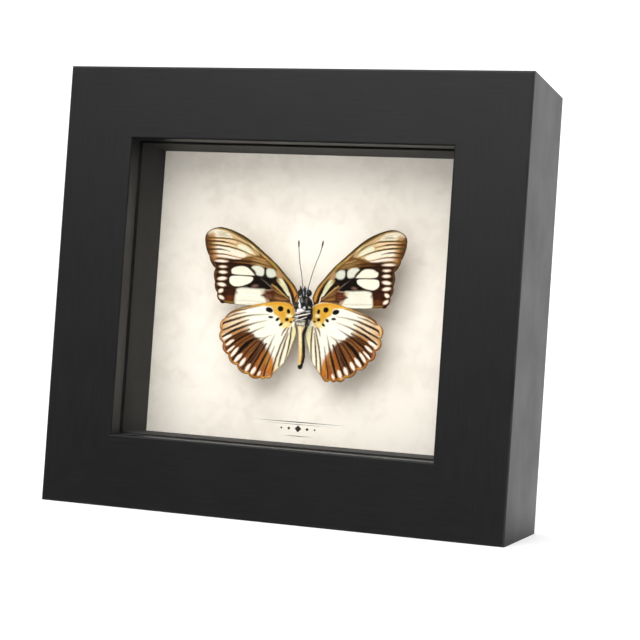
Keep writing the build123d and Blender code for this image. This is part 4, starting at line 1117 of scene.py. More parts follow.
def camber(place, plan):
    """Gentle bow of the dried wings, the same for both wings of a side."""
    across, up = place.turned(plan)
    bow = 0.5 * np.sin(np.clip(np.abs(across) / 36, 0, 1) * math.pi)
    sweep = 0.18 * np.sin(across / 5.2 + up / 9.0) * smooth(4, 14, np.abs(across))
    return bow * np.cos(up / 32) + sweep


def make_wing(node, place, paint, ground, settings, material, warp=None):
    """One wing: a thin closed skin with raised veins, its scales laid on its points."""
    pitch = settings.scale_pitch / MM
    seed = settings.seed + 20 * (1 + sorted(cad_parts).index(node))
    ring = evenly(wing_outline(node, place), pitch, seed)
    plan = wing_points(ring, pitch)
    faces = wing_triangles(plan, len(ring))
    scales = Scales(plan if warp is None else warp(plan), ground, seed)
    scales.keep_inset(ring if warp is None else warp(ring))
    paint(scales)
    scales.rim("#4c3014", 0.14, 0.14, strength=0.75)
    scales.dapple(0.045)

    # Heights over the wing's back in millimetres; the two skins meet at the rim.
    back_height, rim_height, front_height = 0.08, 0.15, 0.22
    behind_share = 0.4               # how much of a vein stands out behind
    pleat = ripple(plan, 3.5, 0.02, seed + 5)
    bow = camber(place, plan)
    edge = np.zeros(len(plan), bool)
    edge[:len(ring)] = True
    front = np.where(edge, rim_height, front_height + pleat + scales.relief) + bow
    back = bow + np.where(edge, rim_height, back_height + pleat + behind_share * scales.relief)
    inner = ~edge
    places = np.vstack([place.set_out(plan, front), place.set_out(plan[inner], back[inner])])
    behind = np.arange(len(plan))
    behind[inner] = len(plan) + np.arange(inner.sum())
    towards_front = place.side > 0
    front_faces = [face if towards_front else face[::-1] for face in faces]
    back_faces = [tuple(int(behind[k]) for k in face[::-1]) for face in front_faces]
    mesh = bpy.data.meshes.new(node)
    mesh.from_pydata(places.tolist(), [], [*front_faces, *back_faces])
    mesh.shade_smooth()
    lay_tints(mesh, np.vstack([scales.tint, scales.tint[inner]]))
    piece = new_piece(f"{node}_scaled", mesh, material)
    stand_in(piece, "scaled_wing", node)


# ---- Body and limbs ----------------------------------------------------------------
def lofted(stations, sides=28):
    """A closed skin through (middle, half width, half depth, run) rings, in millimetres.

    Each ring lies square to its run; the first and last close to a point. It also gives
    the direction out of the skin at each of its points.
    """
    verts, faces, outward = [], [], []
    side_way = np.array([1.0, 0.0, 0.0])
    for middle, half_width, half_depth, run in stations:
        run = np.array(run, float) / np.linalg.norm(run)
        across = side_way - run * (side_way @ run)
        if np.linalg.norm(across) < 0.2:
            across = np.array([0.0, 1.0, 0.0]) - run * run[1]
        across /= np.linalg.norm(across)
        side_way = across
        deep = np.cross(run, across)
        turn = np.linspace(0, math.tau, sides, endpoint=False)
        verts.append(np.array(middle) + np.outer(np.cos(turn) * half_width,
            across) + np.outer(np.sin(turn) * half_depth, deep))
        outward.append(np.outer(np.cos(turn), across) + np.outer(np.sin(turn), deep))
    rings = len(verts)
    verts = np.vstack([*verts, [stations[0][0]], [stations[-1][0]]])
    first, last = rings * sides, rings * sides + 1
    for row in range(rings - 1):
        for k in range(sides):
            a, b = row * sides + k, row * sides + (k + 1) % sides
            faces.append((a, b, b + sides, a + sides))
    for k in range(sides):
        after = (k + 1) % sides
        top = (rings - 1) * sides
        faces.append((after, k, first))
        faces.append((top + k, top + after, last))
    outward = np.vstack([*outward, -np.array([stations[0][3]]), [stations[-1][3]]])
    return verts, faces, outward


def lay_tints(mesh, tints):
    """Store a tint for each of a mesh's points, for its finish to read."""
    channels = np.ones((len(tints), 4), np.float32)
    channels[:, :3] = tints
    layer = mesh.color_attributes.new("scale_colour", "FLOAT_COLOR", "POINT")
    layer.data.foreach_set("color", np.clip(channels, 0, 1).ravel())


def skin_mesh(name, verts, faces, scales):
    """A mesh in metres from points in millimetres, with its scales laid on it."""
    mesh = bpy.data.meshes.new(name)
    mesh.from_pydata((np.asarray(verts) * MM).tolist(), [], faces)
    mesh.shade_smooth()
    lay_tints(mesh, scales.tint)
    shape = bmesh.new()
    shape.from_mesh(mesh)
    bmesh.ops.recalc_face_normals(shape, faces=shape.faces)
    shape.to_mesh(mesh)
    shape.free()
    return mesh


def tree_inputs(tree, sockets):
    """Declare a node tree's geometry and its named inputs, each of a kind."""
    tree.interface.new_socket("Geometry", in_out="INPUT", socket_type="NodeSocketGeometry")
    for name, kind in sockets.items():
        tree.interface.new_socket(name, in_out="INPUT", socket_type=f"NodeSocket{kind}")
    tree.interface.new_socket("Geometry", in_out="OUTPUT", socket_type="NodeSocketGeometry")


def finish_tree(tree, instances, finish, skin=None):
    """End a tree: its instances made real, with the skin under them if any, and finished."""
    shape = add(tree, "GeometryNodeRealizeInstances", {"Geometry": instances})
    if skin is not None:
        together = add(tree, "GeometryNodeJoinGeometry", {0: shape})
        tree.links.new(skin, together.inputs[0])
        shape = together
    shape = add(tree, "GeometryNodeSetMaterial", {"Geometry": shape, "Material": finish})
    add(tree, "NodeGroupOutput", {"Geometry": shape})
    return tree


def bristle_tree():
    """Short tapered hairs over a skin, each with the tint of the skin at its root."""
    tree = bpy.data.node_groups.new("bristles", "GeometryNodeTree")
    tree_inputs(tree, {"Hair length": "Float", "Hair radius": "Float", "Hairs per area": "Float",
        "Lean": "Vector", "Disorder": "Float", "Seed": "Int", "Finish": "Material"})
    given = add(tree, "NodeGroupInput").outputs
    roots = add(tree, "GeometryNodeDistributePointsOnFaces",
        {"Mesh": given["Geometry"], "Density": given["Hairs per area"], "Seed": given["Seed"]})
    hair = add(tree, "GeometryNodeMeshCone",
        {"Vertices": 3, "Radius Top": 0.0, "Radius Bottom": given["Hair radius"],
        "Depth": given["Hair length"]}, fill_type="NGON")
    stray = add(tree, "FunctionNodeRandomValue", {0: (-1.0, -1.0, -1.0), 1: (1.0, 1.0, 1.0),
        "Seed": given["Seed"]}, data_type="FLOAT_VECTOR")
    strayed = add(tree, "ShaderNodeVectorMath", {0: stray, "Scale": given["Disorder"]},
        operation="SCALE")
    leaning = add(tree, "ShaderNodeVectorMath", {0: roots.outputs["Normal"], 1: given["Lean"]},
        operation="ADD")
    heading = add(tree, "ShaderNodeVectorMath", {0: leaning, 1: strayed}, operation="ADD")
    turned = add(tree, "FunctionNodeAlignRotationToVector", {"Vector": heading}, axis="Z")
    share = add(tree, "FunctionNodeRandomValue", {2: 0.55, 3: 1.15, "Seed": given["Seed"]},
        data_type="FLOAT")
    coat = add(tree, "GeometryNodeInstanceOnPoints",
        {"Points": roots, "Instance": hair, "Rotation": turned, "Scale": share})
    return finish_tree(tree, coat, given["Finish"], given["Geometry"])


def antenna_tree():
    """Small ringed segments along a line, which swell to a club near its end."""
    tree = bpy.data.node_groups.new("antenna_segments", "GeometryNodeTree")
    tree_inputs(tree, {"Segment length": "Float", "Stem radius": "Float", "Club radius": "Float",
        "Finish": "Material"})
    given = add(tree, "NodeGroupInput").outputs
    along = add(tree, "GeometryNodeSplineParameter")
    marked = add(tree, "GeometryNodeStoreNamedAttribute",
        {"Geometry": given["Geometry"], "Name": "along", "Value": along}, data_type="FLOAT",
        domain="POINT")
    even = add(tree, "GeometryNodeResampleCurve", {"Curve": marked, "Length": given["Segment length"]},
        mode="LENGTH")
    stations = add(tree, "GeometryNodeCurveToPoints", {"Curve": even}, mode="EVALUATED")
    segment = add(tree, "GeometryNodeMeshCone", {"Vertices": 8, "Radius Top": 0.82, "Radius Bottom": 1.0,
        "Depth": 1.12}, fill_type="NGON")
    reach = add(tree, "GeometryNodeInputNamedAttribute", {"Name": "along"}, data_type="FLOAT")
    swell = add(tree, "ShaderNodeMapRange", {"Value": reach, "From Min": 0.84, "From Max": 0.95,
        "To Min": given["Stem radius"], "To Max": given["Club radius"]}, interpolation_type="SMOOTHSTEP")
    taper = add(tree, "ShaderNodeMapRange", {"Value": reach, "From Min": 0.97, "From Max": 1.0,
        "To Min": 1.0, "To Max": 0.45}, interpolation_type="SMOOTHSTEP")
    radius = add(tree, "ShaderNodeMath", {0: swell, 1: taper}, operation="MULTIPLY")
    size = add(tree, "ShaderNodeCombineXYZ", {"X": radius, "Y": radius, "Z": given["Segment length"]})
    beads = add(tree, "GeometryNodeInstanceOnPoints", {"Points": stations, "Instance": segment,
        "Rotation": stations.outputs["Rotation"], "Scale": size})
    return finish_tree(tree, beads, given["Finish"])


def grown(piece, tree, values, name):
    """Run a node tree on a piece and keep the result as a new plain piece."""
    modifier = piece.modifiers.new(tree.name, "NODES")
    modifier.node_group = tree
    places = {item.name: item.identifier
        for item in tree.interface.items_tree if item.item_type == "SOCKET" and item.in_out == "INPUT"}
    for socket, value in values.items():
        modifier[places[socket]] = value
    graph = bpy.context.evaluated_depsgraph_get()
    mesh = bpy.data.meshes.new_from_object(piece.evaluated_get(graph), preserve_all_data_layers=True,
        depsgraph=graph)
    piece.modifiers.remove(modifier)
    bpy.data.objects.remove(piece)
    if not mesh.polygons:
        raise RuntimeError(f"{tree.name} made nothing for {name}")
    return new_piece(name, mesh, values["Finish"])


def furred(name, verts, faces, scales, coat, settings, finish, lean, length, density,
           disorder=0.35):
    """A skin with its coat of hairs, as one piece."""
    skin = new_piece(name, skin_mesh(name, verts, faces, scales), finish)
    return grown(skin, coat, {"Hair length": length, "Hair radius": settings.hair_radius,
        "Hairs per area": density / MM ** 2, "Lean": lean, "Disorder": disorder, "Seed": settings.seed,
        "Finish": finish}, name)


def turned_stations(middle_x, middle_y, profile):
    """Rings up the body from (height, half width, half depth, aside) rows."""
    return [((middle_x + aside, middle_y, height), half_width, half_depth, (0, 0, 1)) for height,
        half_width, half_depth, aside in profile]


def make_thorax(settings, coat, finish):
    """Thorax: black hair with white and grey tufts between the leg bases, cream below."""
    centre = middle_of("thorax") / MM
    low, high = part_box("thorax")
    half = (high.z - low.z) / MM / 2
    wide = (high.x - low.x) / MM / 2 - 0.6
    profile = []
    for share in np.linspace(-1, 1, 41):
        girth = math.sqrt(max(1 - 0.86 * abs(share) ** 2.4, 0.02))
        lump = 1 + 0.05 * math.sin(share * 11)
        neck = 1 - 0.05 * max(share, 0.0)
        profile.append((centre.z + share * half, wide * girth * lump * neck, wide * girth + 0.4,
            0.2 * max(share, 0.0)))
    verts, faces, _ = lofted(turned_stations(centre.x, centre.y, profile), 56)
    plan = verts[:, [0, 2]] - np.array([centre.x, centre.z])
    scales = Scales(plan, "#0d0b09", settings.seed + 300)
    stroke, patch = scales.stroke, scales.patch
    patch("#f0e8d2", [(-2.4, -3.4), (0.0, -3.9), (1.3, -3.5), (1.2, -5.6), (-2.4, -5.6)], soft=0.3)
    stroke("#77705e", [(-2.0, -4.7), (0.2, -4.95), (2.0, -4.7)], [0.25, 0.35, 0.25])
    stroke("#ffffff", [(-2.7, 1.0), (-2.5, -2.0), (-2.2, -4.6)], [0.3, 0.5, 0.4], soft=0.2)
    for tone, points, widths in (
        ("#fffdf2", [(-1.5, 4.2), (-1.05, 2.9), (-0.4, 1.4)], [0.45, 0.85, 0.65]),
        ("#3c4a44", [(-2.3, 4.0), (-2.1, 2.4), (-1.9, 1.0)], [0.3, 0.4, 0.3]),
        ("#f8ecea", [(-1.1, 0.3), (0.2, 0.35)], [1.1, 1.2]),
        ("#eef0ec", [(1.0, 1.2), (1.9, 1.9), (2.8, 1.2)], [0.45, 0.6, 0.4]),
        ("#fbfcf8", [(1.9, 0.2), (2.5, 0.25)], [0.7, 0.7]),
        ("#dccbc0", [(-2.6, -1.0), (-1.6, -0.7), (-0.2, -0.5)], [0.7, 0.9, 0.5]),
        ("#d8d6ce", [(0.4, -0.2), (1.2, 0.4), (1.6, 1.1)], [0.5, 0.5, 0.4]),
        ("#cfcac0", [(-2.4, -2.6), (-0.6, -3.2), (1.6, -3.0)], [0.4, 0.5, 0.4]),
        ("#a3a1a8", [(-0.4, 4.4), (0.2, 3.2)], [0.35, 0.3]),
        ("#716a62", [(1.3, 4.6), (1.6, 3.2), (2.1, 2.4)], [0.3, 0.4, 0.2]),
        ("#f6e8e4", [(2.6, -3.0), (2.4, -4.4)], [0.5, 0.5]),
        ("#8a7a6c", [(-1.6, -1.9), (0.4, -1.5), (2.2, -1.2)], [0.3, 0.4, 0.3]),
        ("#0a0807", [(-1.6, 2.6), (-1.9, 0.8)], [0.25, 0.25]),
    ):
        stroke(tone, points, widths, soft=0.18)
    scales.dapple(0.12)
    piece = furred("thorax_furred", verts, faces, scales, coat, settings, finish, (0.0, 0.0, -1.6),
        settings.hair_length * 0.6, 16.0)
    stand_in(piece, "insect_fur", "thorax")


def make_head(settings, coat, finish):
    """Head: a small ball with upright tufts in black and grey."""
    centre = middle_of("head") / MM
    low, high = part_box("head")
    radius = (high.x - low.x) / MM / 2 - 0.1
    profile = []
    for share in np.linspace(-0.98, 0.98, 21):
        girth = math.sqrt(1 - share ** 2)
        profile.append((high.z / MM - radius + share * radius, radius * girth, radius * girth, 0.0))
    verts, faces, _ = lofted(turned_stations(centre.x, centre.y, profile), 36)
    plan = verts[:, [0, 2]] - np.array([centre.x, high.z / MM - radius])
    scales = Scales(plan, "#0c0b0a", settings.seed + 310)
    for aside, tone in ((-1.0, "#c4c2cc"), (-0.35, "#1c2426"), (0.05, "#a9a6b0"),
                        (0.6, "#0c0c0c"), (1.05, "#eceae4")):
        scales.stroke(tone, [(aside, -1.5), (aside * 0.9, 0.2), (aside * 0.7, 1.6)], [0.25, 0.42, 0.3])
    scales.dapple(0.12)
    piece = furred("head_furred", verts, faces, scales, coat, settings, finish, (0.0, -0.2, 1.6),
        settings.hair_length * 0.7, 18.0, disorder=0.25)
    stand_in(piece, "insect_fur", "head")


def make_abdomen(settings, coat, finish):
    """Abdomen: slim and ringed, cream along its left, black along its right and tip."""
    low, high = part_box("abdomen")
    centre = middle_of("abdomen") / MM
    length = (high.z - low.z) / MM
    # Up from the tip: height, half width and how far the middle bends aside.
    shape = np.array([(0.0, 0.3, 0.0), (0.5, 0.75, 0.0), (1.4, 0.85, 0.05), (2.6, 1.0, 0.2),
        (4.4, 1.12, 0.42), (7.4, 1.08, 0.2), (10.4, 1.05, -0.15), (12.0, 1.12, -0.25),
        (13.4, 1.5, -0.25), (14.6, 1.75, -0.2), (16.0, 1.7, -0.1)])
    rings = 8
    profile = []
    for share in np.linspace(0, 1, 81):
        height = share * length
        half_width = np.interp(height, shape[:, 0], shape[:, 1])
        half_width += 0.05 * abs(math.sin(share * rings * math.pi)) - 0.04
        profile.append((low.z / MM + height, half_width, half_width * 1.05,
            np.interp(height, shape[:, 0], shape[:, 2])))
    verts, faces, _ = lofted(turned_stations(centre.x, centre.y, profile), 32)
    plan = verts[:, [0, 2]] - np.array([centre.x, low.z / MM])
    scales = Scales(plan, "#efd596", settings.seed + 320)
    patch, stroke = scales.patch, scales.stroke
    patch("#160b04", [(1.9, 16.6), (1.0, 14.4), (0.3, 12.6), (0.3, 10.4), (0.55, 7.6), (0.85, 4.8),
        (0.55, 2.2), (0.3, 0.8), (2.6, 0.4), (2.6, 16.8)], soft=0.18)
    patch("#100803", [(-1.6, 1.2), (-0.2, 1.5), (1.6, 1.6), (1.6, -0.6), (-1.6, -0.6)], soft=0.25)
    stroke("#9a6424", [(0.5, 7.0), (0.75, 4.6), (0.5, 2.4)], [0.1, 0.4, 0.4], strength=0.8)
    stroke("#f6e4d4", [(-0.4, 15.6), (-0.4, 12.4), (-0.3, 9.0)], [1.2, 0.6, 0.4], soft=0.3, strength=0.8)
    stroke("#d8a850", [(-0.1, 6.6), (0.1, 4.4), (-0.1, 2.2)], [0.3, 0.7, 0.5], soft=0.3, strength=0.6)
    # Dark brown line down the abdomen's left edge: painted shade where it meets the left wing.
    stroke("#4c3a24", [(-2.0, 15.6), (-1.5, 13.2), (-1.35, 11.0), (-1.2, 8.0)], [0.5, 0.45, 0.3],
        strength=0.8)
    for band in range(1, rings):
        height = band * length / rings
        stroke("#a08658", [(-1.4, height), (0.3, height - 0.1)], 0.12 * np.ones(2), strength=0.4)
    scales.dapple(0.06)
    piece = furred("abdomen_scaled", verts, faces, scales, coat, settings, finish, (0.0, 0.0, -4.0),
        settings.hair_length * 0.35, 18.0, disorder=0.15)
    stand_in(piece, "insect_fur", "abdomen")


def limb_stations(route, radii, swell=0.12):
    """Rings along a jointed limb: each part thins towards its end and swells at a joint."""
    stations = []
    parts = list(zip(route, route[1:]))
    for index, (start, end) in enumerate(parts):
        start, end = np.array(start, float), np.array(end, float)
        for share in np.linspace(0.06, 0.94, 9):
            radius = radii[index] + (radii[index + 1] - radii[index]) * share
            belly = 1 + swell * math.sin(share * math.pi) - 0.1
            stations.append((start + (end - start) * share, radius * belly, radius * belly, end - start))
        if index + 1 < len(parts):
            bend = (end - start) / np.linalg.norm(end - start)
            ahead = np.array(parts[index + 1][1], float) - end
            run = bend + ahead / np.linalg.norm(ahead)
            knee = radii[index + 1] * 1.08
            if np.linalg.norm(run) < 0.3:
                run = ahead
            stations.append((end, knee, knee, run))
    return stations


def joined(limbs):
    """Several skins as one: their points, faces and tints, from (points, faces, scales)."""
    verts, faces, tints = [], [], []
    for limb_verts, limb_faces, scales in limbs:
        faces += [tuple(k + len(verts) for k in face) for face in limb_faces]
        verts += limb_verts.tolist()
        tints.append(scales.tint)
    scales.tint = np.vstack(tints)
    return verts, faces, scales


def make_legs(settings, coat, finish):
    """Six folded legs, some pale and some dark, with short spines."""
    centre = middle_of("thorax") / MM
    # Across from, in front of and above the middle of the thorax: hip, knee, ankle, foot.
    routes = [
        [(-1.0, 2.4, 3.2), (-2.2, 3.4, 0.8), (-2.5, 3.2, 3.8), (-2.0, 2.8, 5.8)],
        [(1.0, 2.4, 3.2), (2.2, 3.4, 0.8), (2.6, 3.2, 3.6), (2.4, 2.8, 5.6)],
        [(-1.0, 2.8, 0.0), (-2.6, 3.6, -2.3), (0.6, 4.5, -1.5), (4.2, 4.3, -0.5)],
        [(1.0, 2.8, 0.4), (3.7, 3.2, 1.0), (4.3, 3.4, -1.6), (3.3, 3.6, -3.9)],
        [(-0.8, 2.8, -2.0), (-2.3, 3.4, -3.5), (0.4, 4.3, -2.9), (2.9, 4.3, -1.9)],
        [(0.8, 2.8, -2.0), (2.9, 3.6, -3.2), (2.2, 3.8, -4.6), (2.7, 3.6, -6.0)],
    ]
    tones = ["#232826", "#14110f", "#f8f0e2", "#14100e", "#ecdfd6", "#1a1411"]
    radius = 0.33
    limbs = []
    for index, (route, tone) in enumerate(zip(routes, tones)):
        points = [(centre.x + x, centre.y - y, centre.z + z) for x, y, z in route]
        stations = limb_stations(points, [radius, radius * 0.9, radius * 0.8, radius * 0.4])
        leg_verts, leg_faces, outward = lofted(stations, 10)
        scales = Scales(leg_verts[:, [0, 2]], tone, settings.seed + 330 + index)
        # Painted shade: the underside of every leg is darkened. Its part nearest the left wing is darker
        # too.
        scales.lay("#1d1916", smooth(0.3, 0.7, -outward[:, 2]) * 0.95)
        scales.lay("#4a352a", smooth(1.1, 2.0, centre.x - leg_verts[:, 0]) * 0.85)
        scales.dapple(0.12)
        limbs.append((leg_verts, leg_faces, scales))
    piece = furred("legs_spined", *joined(limbs), coat, settings, finish, (0.0, 0.0, 0.0),
        settings.hair_length * 0.25, 5.0, disorder=0.8)
    stand_in(piece, "dark_chitin", "legs")


def make_palps(settings, coat, finish):
    """Two upturned palps beside each other, black."""
    head_low, head_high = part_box("head")
    head = Vector((middle_of("head").x, middle_of("thorax").y, head_high.z)) / MM
    head.z -= (head_high.x - head_low.x) / MM / 2
    limbs = []
    for side in (-1, 1):
        tip = -1.3 if side < 0 else 0.25
        route = [(head.x + side * 0.6, head.y - 1.1, head.z - 0.6),
            (head.x + (side * 0.6 + tip) / 2, head.y - 1.6, head.z + 1.0),
            (head.x + tip, head.y - 1.6, head.z + 2.5)]
        palp_verts, palp_faces, _ = lofted(limb_stations(route, [0.4, 0.34, 0.12]), 12)
        plan = palp_verts[:, [0, 2]] - np.array([head.x, head.z])
        scales = Scales(plan, "#0e1213", settings.seed + 340 + side)
        limbs.append((palp_verts, palp_faces, scales))
    piece = furred("palps_furred", *joined(limbs), coat, settings, finish, (0.0, 0.0, 1.2),
        settings.hair_length * 0.45, 30.0, disorder=0.25)
    stand_in(piece, "insect_fur", "palps")


def make_antenna(node, route, segments, finish):
    """One antenna: a smooth line of tiny rings from the head to its club."""
    head_low, head_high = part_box("head")
    head_z = head_high.z / MM - (head_high.x - head_low.x) / MM / 2
    centre = middle_of("thorax") / MM
    lead = 0.2                       # in front of the body's axis
    line = bpy.data.curves.new(node, "CURVE")
    line.dimensions = "3D"
    spline = line.splines.new("NURBS")
    spline.points.add(len(route) - 1)
    for point, (x, z) in zip(spline.points, route):
        point.co = ((centre.x + x) * MM, (centre.y - lead) * MM, (head_z + z) * MM, 1)
    spline.order_u = 3
    spline.use_endpoint_u = True
    line.resolution_u = 24
    guide = bpy.data.objects.new(node, line)
    bpy.context.scene.collection.objects.link(guide)
    piece = grown(guide, segments, {"Segment length": 0.34 * MM, "Stem radius": 0.15 * MM,
        "Club radius": 0.36 * MM, "Finish": finish}, f"{node}_ringed")
    piece.data.shade_smooth()
    stand_in(piece, "dark_chitin", node)


# ---- Operators ---------------------------------------------------------------------
class CASE_OT_rails(Operator):
    """Lacquer the four mitred rails, with the grain along each"""

    bl_idname = "display_case.rails"
    bl_label = "Rails"

    def execute(self, context):
        settings = context.scene.case_finish
        across, upright = (black_lacquered_wood(settings, along) for along in (0, 2))
        finish_node(across, "rail_bottom", "rail_top")
        finish_node(upright, "rail_left", "rail_right")
        return {"FINISHED"}


class CASE_OT_glazing(Operator):
    """Finish the glass pane"""

    bl_idname = "display_case.glazing"
    bl_label = "Glazing"

    def execute(self, context):
        finish_node(clear_glass(), "glass_pane")
        return {"FINISHED"}


class CASE_OT_lining(Operator):
    """Finish the spacer boards and the sheets behind the specimen"""

    bl_idname = "display_case.lining"
    bl_label = "Lining and backing"

    def execute(self, context):
        settings = context.scene.case_finish
        finish_node(black_spacer_board(settings), "spacer_bottom", "spacer_top", "spacer_left",
            "spacer_right")
        finish_node(parchment_paper(settings), "backing_paper")
        finish_node(white_foam(), "pinning_foam", "specimen_riser")
        finish_node(corrugated_card(), "filler_pad_1", "filler_pad_2")
        finish_node(brown_hardboard(), "back_panel")
        return {"FINISHED"}


class CASE_OT_hardware(Operator):
    """Finish the turn buttons, screws, hanger, nails and bumpers"""

    bl_idname = "display_case.hardware"
    bl_label = "Back hardware"

    def execute(self, context):
        zinc = plated_steel("zinc_plated_steel", "#c9cbcd", "#9b9ea1", 0.34)
        brass = plated_steel("brass_plated_steel", "#d9b56a", "#a8823c", 0.28)
        buttons = [name
            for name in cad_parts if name.startswith("turn_button_") and name != "turn_button_screws"]
        finish_node(zinc, *buttons, "turn_button_screws", "corner_v_nails", "hanger_nails",
            "specimen_pin")
        finish_node(brass, "sawtooth_hanger")
        finish_node(black_rubber(), "wall_bumper_left", "wall_bumper_right")
        return {"FINISHED"}


class CASE_OT_wings(Operator):
    """Build the four wings and lay their scales"""

    bl_idname = "display_case.wings"
    bl_label = "Wings"

    def execute(self, context):
        settings = context.scene.case_specimen
        material = scaled_wing()
        apart = 0.5                  # the hindwings lie this far in front of the forewings
        left, right = settings.left_lift, settings.right_lift
        fore, hind = (paint_forewing, "#2c1404"), (paint_hindwing, "#f3eedc")
        make_wing("left_forewing", WingPlace(-1, left), *fore, settings, material)
        make_wing("right_forewing", WingPlace(1, right, settings.right_forewing_swing, (0.5, 0.1)),
            *fore, settings, material)
        make_wing("left_hindwing", WingPlace(-1, left, layer=apart), *hind, settings, material)
        make_wing("right_hindwing", WingPlace(1, right, settings.right_hindwing_swing, (-0.3, 0.8),
            apart), *hind, settings, material, warp=onto_left_pattern)
        return {"FINISHED"}


class CASE_OT_body(Operator):
    """Build the furred thorax, head, palps and legs and the ringed abdomen"""

    bl_idname = "display_case.body"
    bl_label = "Body"

    def execute(self, context):
        settings = context.scene.case_specimen
        coat, finish = bristle_tree(), insect_fur()
        make_thorax(settings, coat, finish)
        make_head(settings, coat, finish)
        make_abdomen(settings, coat, finish)
        make_palps(settings, coat, finish)
        make_legs(settings, coat, finish)
        eyes = dark_chitin("compound_eye_chitin", "#0b0a0a", "#26221f", 0.22, 0.12 * MM)
        finish_node(eyes, "compound_eyes")
        return {"FINISHED"}


class CASE_OT_antennae(Operator):
    """Build the two ringed antennae"""

    bl_idname = "display_case.antennae"
    bl_label = "Antennae"

    def execute(self, context):
        segments = antenna_tree()
        chitin = dark_chitin("antenna_chitin", "#1a1714", "#4a433c", 0.4, 0.15 * MM)
        # Across from the body's axis and above the middle of the head.
        routes = {"left_antenna": [(-0.7, 0.9), (-1.5, 6.2), (-2.5, 9.8), (-3.2, 14.4), (-3.5, 18.0)],
            "right_antenna": [(0.9, 0.9), (2.0, 6.2), (3.5, 11.2), (5.0, 15.2), (5.4, 18.3)]}
        for node, route in routes.items():
            make_antenna(node, route, segments, chitin)
        return {"FINISHED"}


def studio_white():
    """Seamless paper sweep, matte: reads white to the eye and still takes a shadow."""
    material, tree, shader = new_material("studio_paper")
    rays = add(tree, "ShaderNodeLightPath")
    seen = add(tree, "ShaderNodeMath",
        {0: rays.outputs["Is Camera Ray"], 1: rays.outputs["Is Glossy Ray"]}, operation="MAXIMUM")
    seen = add(tree, "ShaderNodeMath", {0: seen, 1: rays.outputs["Is Transmission Ray"]},
        operation="MAXIMUM")
    glow = add(tree, "ShaderNodeMath", {0: seen, 1: 0.22}, operation="MULTIPLY")
    light = add(tree, "ShaderNodeEmission", {"Color": "#ffffff", "Strength": glow})
    both = add(tree, "ShaderNodeAddShader", {0: shader, 1: light})
    # What lies before the case mirrors dark, so that the glass and its front stay clear.
    place = add(tree, "ShaderNodeSeparateXYZ", {"Vector": object_space(tree)})
    before = add(tree, "ShaderNodeMapRange", {"Value": place.outputs["Y"], "From Min": 0.1,
        "From Max": -0.05})
    hushed = add(tree, "ShaderNodeMath", {0: before, 1: rays.outputs["Is Glossy Ray"]},
        operation="MULTIPLY")
    dark = add(tree, "ShaderNodeEmission", {"Color": "#ffffff", "Strength": 0.1})
    final = add(tree, "ShaderNodeMixShader", {0: hushed, 1: both, 2: dark})
    fill(tree, tree.nodes["Material Output"], {"Surface": final})
    fill(tree, shader, {"Base Color": "#f2f2f2", "Roughness": 0.9, "Specular IOR Level": 0.0})
    return material


def studio_sweep():
    """Floor and backdrop in one curved sheet behind and under the case."""
    half_width, front, back, height, bend = 2.5, -1.6, 1.3, 2.2, 0.6
    corner = [(back - bend + bend * math.sin(a), bend - bend * math.cos(a))
        for a in np.linspace(0, math.pi / 2, 17)]
    profile = [(front, 0.0), *corner, (back, height)]
    verts = [(side * half_width, y, z) for y, z in profile for side in (-1, 1)]
    faces = [(2 * k, 2 * k + 1, 2 * k + 3, 2 * k + 2) for k in range(len(profile) - 1)]
    mesh = bpy.data.meshes.new("studio_sweep")
    mesh.from_pydata(verts, [], faces)
    mesh.shade_smooth()
    return new_piece("studio_sweep", mesh, studio_white())


def studio_world(strength):
    """Even light from the sky, and a dim room in front so that glass stays clear.

    What glossy surfaces see is white behind and beside the case and dark before it.
    """
    world = bpy.data.worlds.new("studio_world")
    bpy.context.scene.world = world
    world.use_nodes = True
    tree = world.node_tree
    tree.nodes.clear()
    rays = add(tree, "ShaderNodeLightPath")
    facing = add(tree, "ShaderNodeSeparateXYZ",
        {"Vector": add(tree, "ShaderNodeTexCoord").outputs["Generated"]})
    # Dim straight in front of the case and white behind it.
    behind = add(tree, "ShaderNodeMapRange", {"Value": facing.outputs["Y"], "From Min": -0.75,
        "From Max": 0.1, "To Min": 0.06}, interpolation_type="SMOOTHSTEP")
    mirrored = add(tree, "ShaderNodeMath",
        {0: rays.outputs["Is Glossy Ray"], 1: rays.outputs["Is Transmission Ray"]}, operation="MAXIMUM")
    sky = add(tree, "ShaderNodeMapRange", {"Value": facing.outputs["Y"], "From Min": -0.4,
        "From Max": 0.6, "To Min": strength, "To Max": 1.7 * strength}, interpolation_type="SMOOTHSTEP")
    lit = add(tree, "ShaderNodeMix", {0: mirrored, 2: sky, 3: behind})
    seen = add(tree, "ShaderNodeMix", {0: rays.outputs["Is Camera Ray"], 2: lit, 3: 1.0})
    light = add(tree, "ShaderNodeBackground", {"Color": "#ffffff", "Strength": seen})
    add(tree, "ShaderNodeOutputWorld", {"Surface": light})


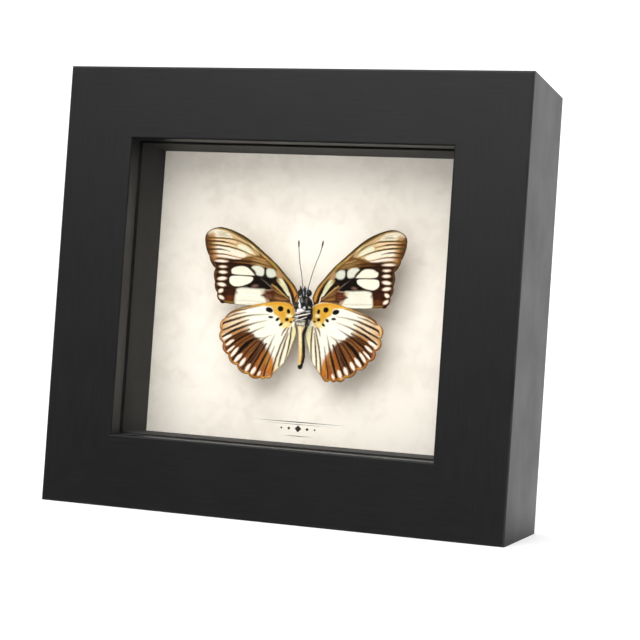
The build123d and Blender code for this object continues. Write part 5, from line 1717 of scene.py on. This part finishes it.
class CASE_OT_stage(Operator):
    """Set up the white sweep, the sky, the soft lamp and the camera"""

    bl_idname = "display_case.stage"
    bl_label = "Stage"

    def execute(self, context):
        settings = context.scene.case_stage
        scene = context.scene
        scene.view_settings.view_transform = "Standard"
        studio_sweep()
        studio_world(settings.sky_strength)
        key = bpy.data.lights.new("key", "AREA")
        key.shape = "SQUARE"
        key.size = settings.key_size
        key.energy = settings.key_power
        lamp = bpy.data.objects.new("key", key)
        lamp.location = settings.key_place
        aim = middle_of("backing_paper") - Vector(settings.key_place)
        lamp.rotation_euler = aim.to_track_quat("-Z", "Y").to_euler()
        scene.collection.objects.link(lamp)
        camera = bpy.data.cameras.new("camera")
        camera.lens = settings.lens
        camera.sensor_width = 36.0
        camera.clip_start = 0.01
        eye = bpy.data.objects.new("camera", camera)
        eye.location = settings.camera_place
        eye.rotation_euler = Euler(settings.camera_turn)
        scene.collection.objects.link(eye)
        scene.camera = eye
        return {"FINISHED"}


OPERATORS = (CASE_OT_rails, CASE_OT_glazing, CASE_OT_lining, CASE_OT_hardware, CASE_OT_wings,
    CASE_OT_body, CASE_OT_antennae, CASE_OT_stage)
SETTINGS = {"case_finish": CaseSettings, "case_specimen": SpecimenSettings, "case_stage": StageSettings}


class CASE_PT_sidebar(Panel):
    """Steps that finish the display case, in their order"""

    bl_label = "Display Case"
    bl_space_type = "VIEW_3D"
    bl_region_type = "UI"
    bl_category = "Display Case"

    def draw(self, context):
        for name, group in SETTINGS.items():
            box = self.layout.box()
            for field in group.__annotations__:
                box.prop(getattr(context.scene, name), field)
        for operator in OPERATORS:
            self.layout.operator(operator.bl_idname)


def register():
    """Add the classes and their settings to Blender."""
    for group in (*SETTINGS.values(), *OPERATORS, CASE_PT_sidebar):
        bpy.utils.register_class(group)
    for name, group in SETTINGS.items():
        setattr(bpy.types.Scene, name, PointerProperty(type=group))


def unregister():
    """Take the classes and their settings out again."""
    for name in SETTINGS:
        delattr(bpy.types.Scene, name)
    for group in reversed((*SETTINGS.values(), *OPERATORS, CASE_PT_sidebar)):
        bpy.utils.unregister_class(group)


def main():
    """Build everything in order."""
    register()
    for operator in OPERATORS:
        category, name = operator.bl_idname.split(".")
        getattr(getattr(bpy.ops, category), name)()


if __name__ == "__main__":
    main()
